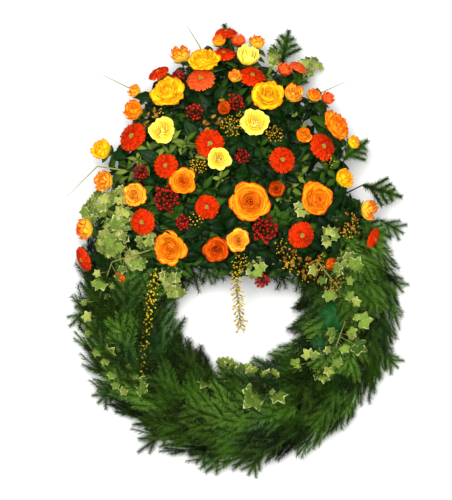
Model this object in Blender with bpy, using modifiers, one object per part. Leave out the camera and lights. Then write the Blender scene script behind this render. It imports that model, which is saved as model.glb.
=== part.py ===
"""Memorial wreath: a straw ring bound with fir, carrying a floral foam block full of blooms.

The wreath lies on its back. +Z is up, out of its face, and +Y runs from the ring towards the
flower mound. The origin is on the surface that it rests on, under the middle of its outline.
"""

import math
import random

import bmesh
import bpy
from mathutils import Matrix, Vector
from mathutils.bvhtree import BVHTree

MM = 0.001

# The photograph is 452 x 500 pixels. Heads and leaves are placed where it shows them.
PIXEL = 2.3 * MM
PHOTO_MIDDLE = (226, 250)
OUTLINE_MIDDLE = (235, 244)
RING_MIDDLE = (238, 305)
VIEW_HEIGHT = 4.0
PIXEL_HEIGHT = 70 * MM

# Straw ring and the fir bound on it
RING_RADIUS = 250 * MM
STRAW_RADIUS = 60 * MM
STRAW_HEIGHT = 55 * MM
RING_STEPS = 30
SECTION_SIDES = 8
GAP = 0.5 * MM

# Fir bound on the ring in sectors, each a thin mat with sprays, that leave the foam's seat free
MAT_THICKNESS = 8 * MM
FIR_SECTORS = 8
FIR_START = 126
FIR_SECTOR = 36
FIR_JOINT = 0.3
# Each spray of a sector: (start, sweep, roll round the section, lift at its tip), in shares of
# the sector, degrees, degrees and metres
FIR_SPRAYS = [
    (0.03, 13, 14, 52 * MM),
    (0.32, 13, 30, 54 * MM),
    (0.62, 11, 8, 50 * MM),
    (0.06, 17, 62, 26 * MM),
    (0.46, 17, 112, 22 * MM),
    (0.24, 17, 160, 24 * MM),
]
FIR_SEED = 11
FIR_TRIES = 30
FIR_ROLLS = (0, 8, -8, 16, -16)
FIR_SINK = 4 * MM
FIR_BELLY = (0.35, 6 * MM)
FIR_LOWER = 0.13
FIR_TOP = 60

# Floral foam block, a saddle over the ring
FOAM_SIZE = (240 * MM, 120 * MM, 105 * MM)
FOAM_TOP = 198 * MM
FOAM_PIXEL = (238, 198)
FOAM_BEVEL = 6 * MM
HOLE_SLACK = 0.5 * MM

# The mound of flowers: a dome that faces straight up at its pole and outwards at its rim
POLE = (226, 200)
MOUND_ACROSS = 150
MOUND_UP = 168
MOUND_DOWN = 110
MOUND_RIM = 112 * MM
MOUND_TOP = 292 * MM
RIM_TILT = 80
TILT_POWER = 2.5

STEM_SIDES = 3
STEM_RADIUS = 2.6 * MM
TWIG_RADIUS = 1.8 * MM
STEM_SPREAD = (0.30, 0.16)
STEM_FOOT = 150 * MM
FORK_OVER_FOAM = 50 * MM
FOOT_STEP = 4 * MM
FOOT_REACH = (110 * MM, 50 * MM)
STEM_BENDS = (0, 12 * MM, -12 * MM)
KNEE_BEHIND = 0.35
KNEE_SHARE = 0.55
FORK_SHARE = 0.56
FORK_TRIES = 90
FORK_STEP = 0.8 * MM
GOLDEN = math.radians(137.5)

# How far a head moves to come clear of those that stand already
TRIES = 240
LIFTS = (0, 1, -1, 2, -2, 3, 4, 5, 6, 7, 8, 9)
LIFT_STEP = 5 * MM
SIDE_STEP = 3 * MM
SHRINK_STEP = 0.001

# Points round a head: every other one is a petal's tip
GERBERA_POINTS = 12
ROSE_POINTS = 10
BUD_POINTS = 8

# name: (across, down, width), all in photograph pixels
GERBERAS = {
    "gerbera_crown": (226, 34, 23),
    "gerbera_top": (223, 55, 25),
    "gerbera_upper_left": (201, 80, 30),
    "gerbera_shoulder_left": (159, 74, 23),
    "gerbera_upper_right": (252, 77, 27),
    "gerbera_far_left": (133, 137, 31),
    "gerbera_middle": (210, 144, 30),
    "gerbera_left": (166, 166, 25),
    "gerbera_heart": (207, 207, 25),
    "gerbera_low_left": (143, 222, 27),
    "gerbera_rim_left": (87, 262, 27),
    "gerbera_right": (282, 160, 27),
    "gerbera_far_right": (322, 147, 29),
    "gerbera_low_right": (301, 235, 28),
    "gerbera_rim_right": (366, 247, 23),
    "gerbera_shoulder_right": (298, 68, 19),
}
ROSES = {
    "rose_yellow_upper_left": (168, 95, 37),
    "rose_yellow_top": (204, 65, 33),
    "rose_lemon_left": (163, 131, 28),
    "rose_orange_left": (183, 182, 28),
    "rose_orange_low_left": (171, 247, 34),
    "rose_orange_middle": (250, 202, 40),
    "rose_orange_right": (315, 199, 37),
    "rose_yellow_upper_right": (267, 98, 36),
    "rose_lemon_right": (255, 123, 29),
    "rose_orange_far_right": (334, 127, 33),
    "rose_yellow_left": (136, 195, 25),
    "rose_cream_middle": (219, 159, 25),
    "rose_yellow_low": (238, 240, 23),
    "rose_rust_low": (217, 249, 27),
}
# Branched stems with several small heads: the heads that share a stem
SPRAYS = {
    "spray_roses_left": [(107, 152, 22), (109, 182, 21), (137, 114, 21)],
    "spray_roses_rim_left": [(91, 227, 22), (126, 279, 14)],
    "spray_roses_shoulder": [(182, 60, 21), (137, 94, 14)],
    "spray_roses_crown": [(219, 45, 15), (238, 45, 15), (256, 47, 17)],
    "spray_roses_top": [(247, 62, 24), (235, 79, 14), (224, 110, 14)],
    "spray_roses_upper_right": [(283, 73, 15), (291, 97, 20), (311, 98, 15), (325, 101, 15)],
    "spray_roses_middle": [(302, 137, 16), (276, 189, 17)],
    "spray_roses_right": [(350, 144, 14), (340, 179, 20), (363, 209, 21), (328, 262, 14)],
}
# Bunches of berries on one branched stem: (across, down, width, count)
BERRY_BUNCHES = {
    "berries_left": [(167, 199, 24, 9), (141, 173, 14, 4), (183, 222, 13, 3)],
    "berries_right": [(265, 230, 24, 9), (242, 156, 13, 3), (262, 280, 14, 3)],
    "berries_top": [(237, 104, 16, 4), (195, 112, 15, 3), (178, 77, 13, 3)],
}
BERRY_RADIUS = 5.2 * MM
BUNCH_FLATNESS = 0.75
BUNCH_SPREAD = 1.15

# Ivy: the vine as pixels, then each leaf as (across, down, width)
IVY = {
    "ivy_left": (
        [(150, 250), (112, 262), (98, 300), (98, 340), (118, 368), (134, 384)],
        [
            (117, 224, 19),
            (111, 243, 18),
            (136, 262, 18),
            (103, 283, 17),
            (91, 331, 17),
            (112, 350, 17),
            (117, 394, 19),
            (142, 387, 16),
        ],
    ),
    "ivy_right": (
        [(318, 262), (338, 288), (344, 322), (334, 350), (310, 368)],
        [
            (353, 266, 20),
            (334, 314, 31),
            (361, 320, 19),
            (356, 345, 19),
            (318, 344, 17),
            (297, 365, 17),
            (322, 374, 16),
        ],
    ),
    "ivy_bottom": (
        [(208, 372), (230, 378), (252, 380), (272, 382)],
        [
            (204, 385, 17),
            (231, 368, 15),
            (250, 397, 30),
            (278, 396, 20),
        ],
    ),
}
IVY_OUTLINE = [(0, 1.0), (30, 0.56), (62, 0.88), (122, 0.66)]
IVY_NOTCH = 0.14
IVY_REACH = 0.62
IVY_TRIES = 16
IVY_LIFT = 6 * MM
IVY_STEP = 4 * MM
VINE_TRIES = 30
VINE_STEP = 3 * MM
LEAF_DOME = 0.09
STALK_HALF = 1.2 * MM
LEAF_THICKNESS = 1.0 * MM
OVER_FIR = 14 * MM
PIN_RADIUS = 1.2 * MM
PIN_POINT = 0.4 * MM
PIN_GAP = 0.5 * MM
PIN_REACH = 45 * MM

# Yellow seed sprays: the stem as (across, down, height in mm), and where it stands in the foam
SEED_SPRAYS = {
    "seed_spray_left": [(158, 268, 180), (151, 300, 136), (146, 335, 134), (142, 376, 132)],
    "seed_spray_hanging": [(238, 262, 232), (236, 285, 205), (239, 305, 172), (241, 328, 132)],
}
SEED_FEET = {"seed_spray_left": (207, 208), "seed_spray_hanging": (238, 208)}
SEED_RADIUS = 4.2 * MM
SEED_PAIRS = 5
SEED_STALK = 15 * MM
SEED_TURN = 2.4
SEED_LEAN = 0.6
ROOT_BEND = 10 * MM

# Dark leaves low between the heads: (across, down, length)
DARK_LEAVES = [
    (203, 101, 30),
    (190, 128, 30),
    (243, 170, 28),
    (300, 152, 30),
    (146, 154, 30),
    (292, 88, 28),
    (262, 262, 28),
    (192, 232, 28),
    (116, 208, 30),
    (342, 222, 30),
    (232, 128, 28),
    (150, 108, 28),
]
DARK_OUTLINE = [(0.5, 0), (0.18, 0.23), (-0.25, 0.22)]
DARK_NOTCH = 0.48
LEAF_DEPTH = 26 * MM
LEAF_STEP = 3 * MM
LEAF_SHRINK = 0.006
LEAF_TRIES = 60
LEAF_SHARE = 0.68

# Leafy twigs that fill the mound between the heads, spread over it by the golden angle
FILL_TWIGS = 10
FILL_SHARES = (0.36, 0.90)
FILL_DOWN = 52
FILL_DEPTH = 12 * MM
FILL_STEP = 7 * MM
FILL_DEPTHS = 6
FILL_TURNS = (0, 30, -30, 60, -60, 90, -90, 120, -120, 150, -150, 180)
FILL_LENGTH = 52 * MM
FILL_BOW = 5 * MM
FILL_PAIRS = 2
FILL_LEAF = 33 * MM
FILL_ANGLE = 50
FILL_KNEE = 0.6
OVER_FOAM = 8 * MM

# Fir sprigs that stand out of the mound: (across, down) of where the needles start and end
SPRIGS = {
    "fir_sprigs_top": [
        ((221, 48), (217, 19)),
        ((282, 62), (289, 30)),
        ((298, 78), (304, 55)),
    ],
    "fir_sprigs_right": [
        ((346, 158), (368, 140)),
        ((366, 186), (402, 197)),
        ((368, 226), (398, 240)),
    ],
}
SPRIG_TRIES = 96
SPRIG_DROP = 5 * MM
SPRIG_SHIFT = 2 * MM
SPRIG_BOW = 3 * MM
TWIG_OVERLAP = 2 * MM
NEEDLE_LENGTH = 27 * MM
NEEDLE_ANGLE = 42
NEEDLE_RISE = (0.30, -0.05)
SPRAY_PAIRS = 4
SPRAY_THICKNESS = 1.6 * MM
CORE_HALF = 2.0 * MM

# Thin grass blades: (across, down) where each shows first and where it ends
GRASS = [
    ((131, 88), (99, 72)),
    ((200, 46), (186, 24)),
    ((97, 166), (66, 197)),
    ((322, 92), (348, 80)),
]
GRASS_FORK = (228, 182)
GRASS_SHARE = 0.85
GRASS_RADIUS = 1.3 * MM
GRASS_TRIES = 80
GRASS_DROP = 5 * MM
GRASS_SHIFT = 4 * MM

PETAL_THICKNESS = 1.2 * MM

GREEN = (0.05, 0.16, 0.03, 1)
LEAF_GREEN = (0.22, 0.36, 0.10, 1)
ORANGE_RED = (0.90, 0.09, 0.01, 1)
ORANGE = (0.90, 0.25, 0.02, 1)
YELLOW = (0.90, 0.55, 0.04, 1)
BERRY_RED = (0.30, 0.01, 0.01, 1)
BERRY_YELLOW = (0.70, 0.48, 0.05, 1)
STRAW = (0.10, 0.20, 0.08, 1)
FOAM_GREEN = (0.06, 0.22, 0.10, 1)


def clear_scene():
    for obj in list(bpy.data.objects):
        bpy.data.objects.remove(obj)


def new_collection(name, hidden=False):
    made = bpy.data.collections.new(name)
    made.hide_render = hidden
    bpy.context.scene.collection.children.link(made)
    return made


def material(name, colour, roughness):
    made = bpy.data.materials.new(name)
    made.use_nodes = True
    shader = made.node_tree.nodes["Principled BSDF"]
    shader.inputs["Base Color"].default_value = colour
    shader.inputs["Roughness"].default_value = roughness
    shader.inputs["Metallic"].default_value = 0
    return made


def seen_at(across, down, height):
    """The point at this height that the photograph shows at this pixel."""
    nearer = (VIEW_HEIGHT - height) / (VIEW_HEIGHT - PIXEL_HEIGHT)
    x = PHOTO_MIDDLE[0] - OUTLINE_MIDDLE[0] + (across - PHOTO_MIDDLE[0]) * nearer
    y = OUTLINE_MIDDLE[1] - PHOTO_MIDDLE[1] + (PHOTO_MIDDLE[1] - down) * nearer
    return Vector((x * PIXEL, y * PIXEL, height))


def mound_at(across, down):
    """Where a head sits on the mound and the way that it faces."""
    reach = MOUND_UP if down < POLE[1] else MOUND_DOWN
    dx = (across - POLE[0]) / MOUND_ACROSS
    dy = (POLE[1] - down) / reach
    share = math.hypot(dx, dy)
    height = MOUND_RIM + (MOUND_TOP - MOUND_RIM) * (1 - min(share, 1.04) ** 3)
    tilt = math.radians(min(RIM_TILT, RIM_TILT * share**TILT_POWER))
    heading = math.atan2(POLE[1] - down, across - POLE[0])
    facing = Vector(
        (
            math.sin(tilt) * math.cos(heading),
            math.sin(tilt) * math.sin(heading),
            math.cos(tilt),
        )
    )
    return seen_at(across, down, height), facing


def mesh_object(name, points, faces, group):
    mesh = bpy.data.meshes.new(name)
    mesh.from_pydata([tuple(p) for p in points], [], faces)
    obj = bpy.data.objects.new(name, mesh)
    group.objects.link(obj)
    return obj


def tube(name, points, radii, group):
    """A closed three-sided tube along the points, swept as a bevelled curve with welded caps."""
    section = bpy.data.curves.new("section", "CURVE")
    corners = section.splines.new("POLY")
    corners.points.add(STEM_SIDES - 1)
    corners.use_cyclic_u = True
    for i, point in enumerate(corners.points):
        angle = math.tau * i / STEM_SIDES
        point.co = (math.cos(angle), math.sin(angle), 0, 1)
    outline = bpy.data.objects.new("section", section)
    curve = bpy.data.curves.new(name, "CURVE")
    curve.dimensions = "3D"
    curve.bevel_mode = "OBJECT"
    curve.bevel_object = outline
    curve.use_fill_caps = True
    spline = curve.splines.new("POLY")
    spline.points.add(len(points) - 1)
    for point, place, radius in zip(spline.points, points, radii):
        point.co = (*place, 1)
        point.radius = radius
    guide = bpy.data.objects.new(name, curve)
    group.objects.link(guide)
    group.objects.link(outline)
    graph = bpy.context.evaluated_depsgraph_get()
    mesh = bpy.data.meshes.new_from_object(guide.evaluated_get(graph))
    bpy.data.objects.remove(guide)
    bpy.data.objects.remove(outline)
    obj = bpy.data.objects.new(name, mesh)
    group.objects.link(obj)
    shape = bmesh.new()
    shape.from_mesh(mesh)
    bmesh.ops.remove_doubles(shape, verts=shape.verts, dist=0.00001)
    bmesh.ops.recalc_face_normals(shape, faces=shape.faces)
    shape.to_mesh(mesh)
    shape.free()
    return obj


def boolean(base, pieces, operation):
    """Joins the base with every piece, or cuts it by them, and removes them."""
    group = bpy.data.collections.new("operands")
    bpy.context.scene.collection.children.link(group)
    for piece in pieces:
        for old in list(piece.users_collection):
            old.objects.unlink(piece)
        group.objects.link(piece)
    modifier = base.modifiers.new(operation.lower(), "BOOLEAN")
    modifier.operation = operation
    modifier.operand_type = "COLLECTION"
    modifier.collection = group
    modifier.solver = "MANIFOLD"
    graph = bpy.context.evaluated_depsgraph_get()
    mesh = bpy.data.meshes.new_from_object(base.evaluated_get(graph))
    base.modifiers.clear()
    base.data = mesh
    for obj in list(group.objects):
        bpy.data.objects.remove(obj)
    bpy.data.collections.remove(group)
    return base


def tree_of(obj):
    points = [obj.matrix_world @ v.co for v in obj.data.vertices]
    return BVHTree.FromPolygons(points, [tuple(f.vertices) for f in obj.data.polygons])


class Placed:
    """The solids that stand already, so that a new one can be kept clear of them."""

    def __init__(self):
        self.trees = {}

    def add(self, obj):
        self.trees[obj.name] = tree_of(obj)

    def forget(self, name):
        del self.trees[name]

    def touched_by(self, obj, through=()):
        tree = tree_of(obj)
        return any(tree.overlap(other) for name, other in self.trees.items() if name not in through)


class Grown:
    """The solids of one try at a branch: stems may pass through the foam, the rest may not."""

    def __init__(self, stems, rest):
        self.stems = stems
        self.rest = rest

    def clear_of(self, placed):
        if any(placed.touched_by(obj, ("floral_foam",)) for obj in self.stems):
            return False
        return not any(placed.touched_by(obj) for obj in self.rest)

    def remove(self):
        for obj in self.stems + self.rest:
            bpy.data.objects.remove(obj)


def first_clear(name, make, tries, placed, needed=True):
    """The solids of the first try that touches nothing; what is needed has to find room."""
    for attempt in range(tries):
        grown = make(attempt)
        if grown.clear_of(placed):
            return grown
        grown.remove()
    if needed:
        raise ValueError(f"no room for {name}")
    return None


def finished(name, base, pieces, shade, placed):
    """Joins the pieces to the base, names the node and gives it its material."""
    if pieces:
        boolean(base, pieces, "UNION")
    base.name = name
    base.data.name = name
    base.data.materials.clear()
    base.data.materials.append(shade)
    placed.add(base)
    return base


def turned_to(place, facing, spin=0.0):
    """A frame at this place whose Z looks along the facing."""
    turn = facing.to_track_quat("Z", "Y").to_matrix().to_4x4()
    return Matrix.Translation(place) @ turn @ Matrix.Rotation(spin, 4, "Z")


def stacked_rings(name, rings, bottom, top, group):
    """A closed head: rings of points from the underside to the middle, with a pole at each end."""
    count = len(rings[0])
    points = [Vector((0, 0, bottom))]
    for ring in rings:
        points.extend(ring)
    points.append(Vector((0, 0, top)))
    last = len(points) - 1
    outer = 1 + (len(rings) - 1) * count
    faces = []
    for i in range(count):
        j = (i + 1) % count
        faces.append((0, 1 + j, 1 + i))
        for level in range(len(rings) - 1):
            low, high = 1 + level * count, 1 + (level + 1) * count
            faces.append((low + i, low + j, high + j))
            faces.append((low + i, high + j, high + i))
        faces.append((outer + i, outer + j, last))
    return mesh_object(name, points, faces, group)


def lobed_ring(count, lobe, radius, depth, height, rise, shift=0):
    """Points round the axis whose radius and height swing between petal tips and notches."""
    ring = []
    for i in range(count):
        swing = (math.cos(math.tau * (i + shift) / lobe) - 1) / 2
        angle = math.tau * i / count
        reach = radius * (1 + depth * swing)
        point = (reach * math.cos(angle), reach * math.sin(angle), height + rise * swing)
        ring.append(Vector(point))
    return ring


def gerbera_head(width, group):
    """Two layers of strap petals round a small button."""
    r, count = width / 2, GERBERA_POINTS
    rings = [
        lobed_ring(count, 2, r, 0.26, 2.0 * MM, 0),
        lobed_ring(count, 2, r, 0.26, 2.0 * MM + PETAL_THICKNESS, 0),
        lobed_ring(count, 2, 0.72 * r, 0.3, 7.5 * MM, 1 * MM, 1),
        lobed_ring(count, 2, 0.27 * r, 0, 5.0 * MM, 0),
    ]
    return stacked_rings("head", rings, -4 * MM, 8 * MM, group)


def rose_head(width, group):
    """Three whorls of petals, each higher and narrower than the one round it."""
    r, count = width / 2, ROSE_POINTS
    rings = [
        lobed_ring(count, 2, r, 0.12, 0.32 * r, 0),
        lobed_ring(count, 2, r, 0.12, 0.32 * r + PETAL_THICKNESS, 0),
        lobed_ring(count, 2, 0.60 * r, 0, 0.28 * r, 0),
        lobed_ring(count, 2, 0.76 * r, 0.12, 0.62 * r, 0.06 * r, 1),
        lobed_ring(count, 2, 0.40 * r, 0.2, 0.74 * r, 0.06 * r),
    ]
    return stacked_rings("head", rings, -0.22 * r, 0.62 * r, group)


def bud_head(width, group):
    """A half-open head: five outer petals round a closed cone."""
    r, count = width / 2, BUD_POINTS
    rings = [
        lobed_ring(count, 2, 0.86 * r, 0.05, 0.45 * r, 0),
        lobed_ring(count, 2, r, 0.14, 1.15 * r, 0.1 * r),
    ]
    return stacked_rings("head", rings, -0.25 * r, 1.4 * r, group)


def berry_bunch(width, count, group):
    """Berries set in a spiral over a small core, each as a solid of its own."""
    core = small_ball("core", 0.5 * width - 0.6 * BERRY_RADIUS, Vector(), group, 5, 3)
    core.data.transform(Matrix.Diagonal((1, 1, BUNCH_FLATNESS, 1)))
    pieces = [core]
    reach = 0.5 * width - BERRY_RADIUS
    for i in range(count):
        down = math.acos(1 - BUNCH_SPREAD * (i + 0.5) / count)
        turn = i * GOLDEN
        place = Vector(
            (
                reach * math.sin(down) * math.cos(turn),
                reach * math.sin(down) * math.sin(turn),
                BUNCH_FLATNESS * reach * math.cos(down),
            )
        )
        pieces.append(small_ball("berry", BERRY_RADIUS, place, group, 4, 2))
    return pieces


def small_ball(name, radius, place, group, sides, bands):
    """A berry or a seed: a low turned ball."""
    mesh = bpy.data.meshes.new(name)
    shape = bmesh.new()
    bmesh.ops.create_uvsphere(shape, u_segments=sides, v_segments=bands, radius=radius)
    bmesh.ops.translate(shape, vec=place, verts=shape.verts)
    shape.to_mesh(mesh)
    shape.free()
    obj = bpy.data.objects.new(name, mesh)
    group.objects.link(obj)
    return obj


def nearby(place, facing, attempt, seed):
    """Where the numbered try puts a head: further out or in, then to a side."""
    draw = random.Random(seed * 1000 + attempt)
    lift = LIFTS[attempt // 6 % len(LIFTS)] * LIFT_STEP
    sideways = Vector((draw.uniform(-1, 1), draw.uniform(-1, 1), draw.uniform(-1, 1)))
    sideways -= sideways.project(facing)
    return place + facing * lift + sideways * SIDE_STEP * (attempt % 6 + attempt // 72)


def foam_foot(place, attempt=0):
    """Where a stem ends inside the foam: the head's place, drawn in towards the block."""
    draw = random.Random(attempt)
    stray = FOOT_STEP * (attempt % 5)
    middle = seen_at(*FOAM_PIXEL, FOAM_TOP)
    x = STEM_SPREAD[0] * (place.x - middle.x) + draw.uniform(-stray, stray)
    y = STEM_SPREAD[1] * (place.y - middle.y) + draw.uniform(-stray, stray)
    x = max(-FOOT_REACH[0], min(FOOT_REACH[0], x))
    y = max(-FOOT_REACH[1], min(FOOT_REACH[1], y))
    return Vector((middle.x + x, middle.y + y, STEM_FOOT))


def stem_route(foot, neck, facing, bend):
    """Foot, knee and neck of a stem that comes up under its head along the head's own axis."""
    straight = 0.5 * (foot + neck)
    behind = neck - facing * KNEE_BEHIND * (neck - foot).length
    side = facing.cross(neck - foot).normalized()
    return [foot, straight.lerp(behind, KNEE_SHARE) + bend * side, neck]


def bend_of(attempt):
    return STEM_BENDS[attempt % len(STEM_BENDS)]


def width_at(place, width):
    """The real width of a head that is this many pixels wide in the photograph."""
    return width * PIXEL * (VIEW_HEIGHT - place.z) / (VIEW_HEIGHT - PIXEL_HEIGHT)


def cut_hole(route, cutters):
    """The cutter of a stem's hole in the foam, a little wider and deeper than the stem."""
    deeper = route[0] + (route[0] - route[1]).normalized() * HOLE_SLACK
    tube("hole", [deeper, *route[1:]], [STEM_RADIUS + HOLE_SLACK] * len(route), cutters)


def bloom(name, spot, head_of, wreath, placed, cutters, shade):
    """One head on its stem, moved along its own axis until it's clear of its neighbours."""
    across, down, width = spot
    place, facing = mound_at(across, down)
    width = width_at(place, width)

    def make(attempt):
        at = nearby(place, facing, attempt, across)
        route = stem_route(foam_foot(place, attempt), at, facing, bend_of(attempt))
        stem = tube("stem", route, [STEM_RADIUS] * 3, wreath)
        head = head_of(width * (1 - SHRINK_STEP * attempt), wreath)
        head.matrix_world = turned_to(at, facing, 0.7 * attempt + across)
        make.route = route
        return Grown([stem], [head])

    grown = first_clear(name, make, TRIES, placed)
    cut_hole(make.route, cutters)
    finished(name, grown.stems[0], grown.rest, shade, placed)


def trunk(name, middle, share, wreath, placed, cutters):
    """The part of a branched stem that stands in the foam, up to its fork, and the fork."""

    def make(attempt):
        turn = GOLDEN * attempt
        side = Vector((math.cos(turn), math.sin(turn), 0)) * attempt * FORK_STEP
        foot = foam_foot(middle, attempt)
        fork = foot.lerp(middle, share) + side
        make.route = [foot, foot.lerp(fork, 0.5), fork]
        return Grown([tube("stem", make.route, [STEM_RADIUS] * 3, wreath)], [])

    base = first_clear(name, make, FORK_TRIES, placed)
    cut_hole(make.route, cutters)
    return base.stems[0], make.route[-1]


def bunch_heads(spot, at, facing, attempt, wreath):
    """The small head, or the bunch of berries, of one branch."""
    across, down, width = spot[:3]
    width = width_at(at, width) * (1 - SHRINK_STEP * attempt)
    if len(spot) == 3:
        made = [bud_head(width, wreath)]
    else:
        made = berry_bunch(width, spot[3], wreath)
    for obj in made:
        obj.matrix_world = turned_to(at, facing, 0.7 * attempt + across)
    return made


def branched(name, spots, wreath, placed, cutters, shade):
    """A stem that forks above the foam, with a head or a bunch of berries on each branch."""
    seats = [mound_at(spot[0], spot[1]) for spot in spots]
    middle = sum((place for place, _ in seats), Vector()) / len(seats)
    base, fork = trunk(name, middle, FORK_SHARE, wreath, placed, cutters)
    pieces = []
    for spot, (place, facing) in zip(spots, seats):

        def make(attempt):
            at = nearby(place, facing, attempt, spot[0])
            route = stem_route(fork, at, facing, bend_of(attempt))
            radii = [TWIG_RADIUS] * 3
            branch = tube("branch", route, radii, wreath)
            return Grown([], [branch, *bunch_heads(spot, at, facing, attempt, wreath)])

        pieces.extend(first_clear(name, make, TRIES, placed).rest)
    finished(name, base, pieces, shade, placed)


def thick_sheet(name, points, faces, along, thickness, group):
    """A sheet of triangles given thickness along a direction, closed round its edge."""
    mesh = bpy.data.meshes.new(name)
    shape = bmesh.new()
    verts = [shape.verts.new(p) for p in points]
    made = [shape.faces.new([verts[i] for i in face]) for face in faces]
    lower = bmesh.ops.extrude_face_region(shape, geom=made, use_keep_orig=True)["geom"]
    moved = [item for item in lower if isinstance(item, bmesh.types.BMVert)]
    bmesh.ops.translate(shape, vec=-along * thickness, verts=moved)
    bmesh.ops.triangulate(shape, faces=shape.faces)
    bmesh.ops.recalc_face_normals(shape, faces=shape.faces)
    shape.to_mesh(mesh)
    shape.free()
    obj = bpy.data.objects.new(name, mesh)
    group.objects.link(obj)
    return obj


def bent(route, share):
    """The point of a quadratic curve through three guides, and its direction there."""
    a, b, c = route
    point = (1 - share) ** 2 * a + 2 * share * (1 - share) * b + share**2 * c
    ahead = 2 * (1 - share) * (b - a) + 2 * share * (c - b)
    return point, ahead.normalized()


def needle_spray(route, up, pairs, length, angle, group):
    """A slim twig edged with needles or leaves, every other one raised, and one ahead."""
    points, faces = [], []
    for k in range(pairs + 1):
        at, ahead = bent(route, k / pairs)
        side = ahead.cross(up).normalized() * CORE_HALF * (1 - 0.4 * k / pairs)
        points.extend((at - side, at + side))
    for k in range(pairs):
        left, right = 2 * k, 2 * k + 1
        faces.append((left, right, right + 2))
        faces.append((left, right + 2, left + 2))
    tip, ahead = bent(route, 1.0)
    points.append(tip + ahead * 0.7 * length)
    faces.append((2 * pairs, 2 * pairs + 1, len(points) - 1))
    turn = math.radians(angle)
    for k in range(pairs):
        at, ahead = bent(route, (k + 0.5) / pairs)
        for hand, first in ((-1, 2 * k), (1, 2 * k + 1)):
            side = ahead.cross(up).normalized() * hand
            raised = NEEDLE_RISE[(k + (hand > 0)) % 2]
            away = ahead * math.cos(turn) + side * math.sin(turn) + up * raised
            reach = length * (1 - 0.2 * k / pairs)
            points.append(points[first] + away * reach)
            faces.append((first, len(points) - 1, first + 2))
    return thick_sheet("spray", points, faces, up, SPRAY_THICKNESS, group)


def stalked_leaf(outline, notch, place, root, normal, size, group):
    """A blade and its stalk as one sheet: a fan round a raised middle, the stalk to its root."""
    ahead = (place - root).normalized()
    side = normal.cross(ahead).normalized()
    up = ahead.cross(side)
    far = -(place - root).length
    stalk = [(-notch, STALK_HALF), (far, STALK_HALF), (far, -STALK_HALF), (-notch, -STALK_HALF)]
    flat = outline + stalk + [(x, -y) for x, y in reversed(outline[1:])]
    points = [place + up * LEAF_DOME * size]
    points.extend(place + ahead * x + side * y for x, y in flat)
    count = len(flat)
    faces = [(0, 1 + i, 1 + (i + 1) % count) for i in range(count)]
    return thick_sheet("leaf", points, faces, up, LEAF_THICKNESS, group)


def ivy_outline(width):
    """The tip and the lobes of one side, out to the notch at the stalk; the tip is along +X."""
    half = [(math.radians(turn), share * IVY_REACH * width) for turn, share in IVY_OUTLINE]
    return [(reach * math.cos(turn), reach * math.sin(turn)) for turn, reach in half]


def leaf_outline(length):
    """The tip and one side of a pointed oval; the tip is along +X."""
    return [(x * length, y * length) for x, y in DARK_OUTLINE]


def ring_middle():
    return seen_at(*RING_MIDDLE, PIXEL_HEIGHT)


def over_ring(across, down, lift):
    """The point over the fir mat that the photograph shows at this pixel."""
    spot = seen_at(across, down, STRAW_HEIGHT + STRAW_RADIUS)
    middle = ring_middle()
    off = math.hypot(spot.x - middle.x, spot.y - middle.y) - RING_RADIUS
    outer = STRAW_RADIUS + GAP + MAT_THICKNESS + lift
    rise = math.sqrt(max(0, outer**2 - off**2))
    return Vector((spot.x, spot.y, STRAW_HEIGHT + rise))


def over_all(across, down, lift):
    """A point over the mound where the mound is the higher, otherwise over the ring's fir."""
    ring = over_ring(across, down, lift)
    share = math.hypot(
        (across - POLE[0]) / MOUND_ACROSS,
        (POLE[1] - down) / (MOUND_UP if down < POLE[1] else MOUND_DOWN),
    )
    if share > 1:
        return ring
    place, facing = mound_at(across, down)
    return place if place.z > ring.z else ring


def ivy(name, vine, leaves, wreath, placed, shade):
    """A vine over the fir with lobed leaves on stalks."""
    route = [over_all(across, down, OVER_FIR) for across, down in vine]

    def stem(attempt):
        stem.route = [p + Vector((0, 0, VINE_STEP * attempt)) for p in route]
        return Grown([], [tube("vine", stem.route, [TWIG_RADIUS] * len(route), wreath)])

    base = first_clear(name, stem, VINE_TRIES, placed)
    pieces = pins(stem.route, wreath)
    for across, down, width in leaves:

        def make(attempt):
            raised = IVY_STEP * attempt
            lift = OVER_FIR + IVY_LIFT + raised
            at = over_all(across, down, lift) + Vector((0, 0, raised))
            root = min(joints(stem.route), key=lambda p: (p - at).length)
            size = width_at(at, width) * (1 - SHRINK_STEP * attempt)
            outline, notch = ivy_outline(size), IVY_NOTCH * size
            up = Vector((0, 0, 1))
            return Grown([], [stalked_leaf(outline, notch, at, root, up, size, wreath)])

        pieces.extend(first_clear(name, make, IVY_TRIES, placed).rest)
    finished(name, base.rest[0], pieces, shade, placed)


def pins(route, wreath):
    """Wire pins that hold a vine down on the mat, at its inner points that lie over the mat."""
    made = []
    middle = ring_middle()
    for place in route[1:-1:2]:
        flat = Vector((place.x - middle.x, place.y - middle.y, 0))
        turn = math.degrees(math.atan2(flat.y, flat.x))
        roll = math.degrees(math.atan2(place.z - STRAW_HEIGHT, flat.length - RING_RADIUS))
        foot = ring_spot(turn, roll, PIN_GAP)
        if (place - foot).length < PIN_REACH:
            made.append(tube("pin", [place, foot], [PIN_RADIUS, PIN_POINT], wreath))
    return made


def joints(route):
    """Places along a route where a stalk may start: its inner points and the middles between."""
    middles = [0.5 * (a + b) for a, b in zip(route, route[1:])]
    return route[1:-1] + middles


def seed_drop(root, tip, group):
    """A seed with its stalk: a four-sided drop, widest near its tip."""
    mesh = bpy.data.meshes.new("seed")
    shape = bmesh.new()
    bmesh.ops.create_uvsphere(shape, u_segments=4, v_segments=2, radius=SEED_RADIUS)
    lowest = min(shape.verts, key=lambda v: v.co.z)
    lowest.co.z = -(tip - root).length
    shape.to_mesh(mesh)
    shape.free()
    obj = bpy.data.objects.new("seed", mesh)
    obj.matrix_world = turned_to(tip, tip - root)
    group.objects.link(obj)
    return obj


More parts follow.
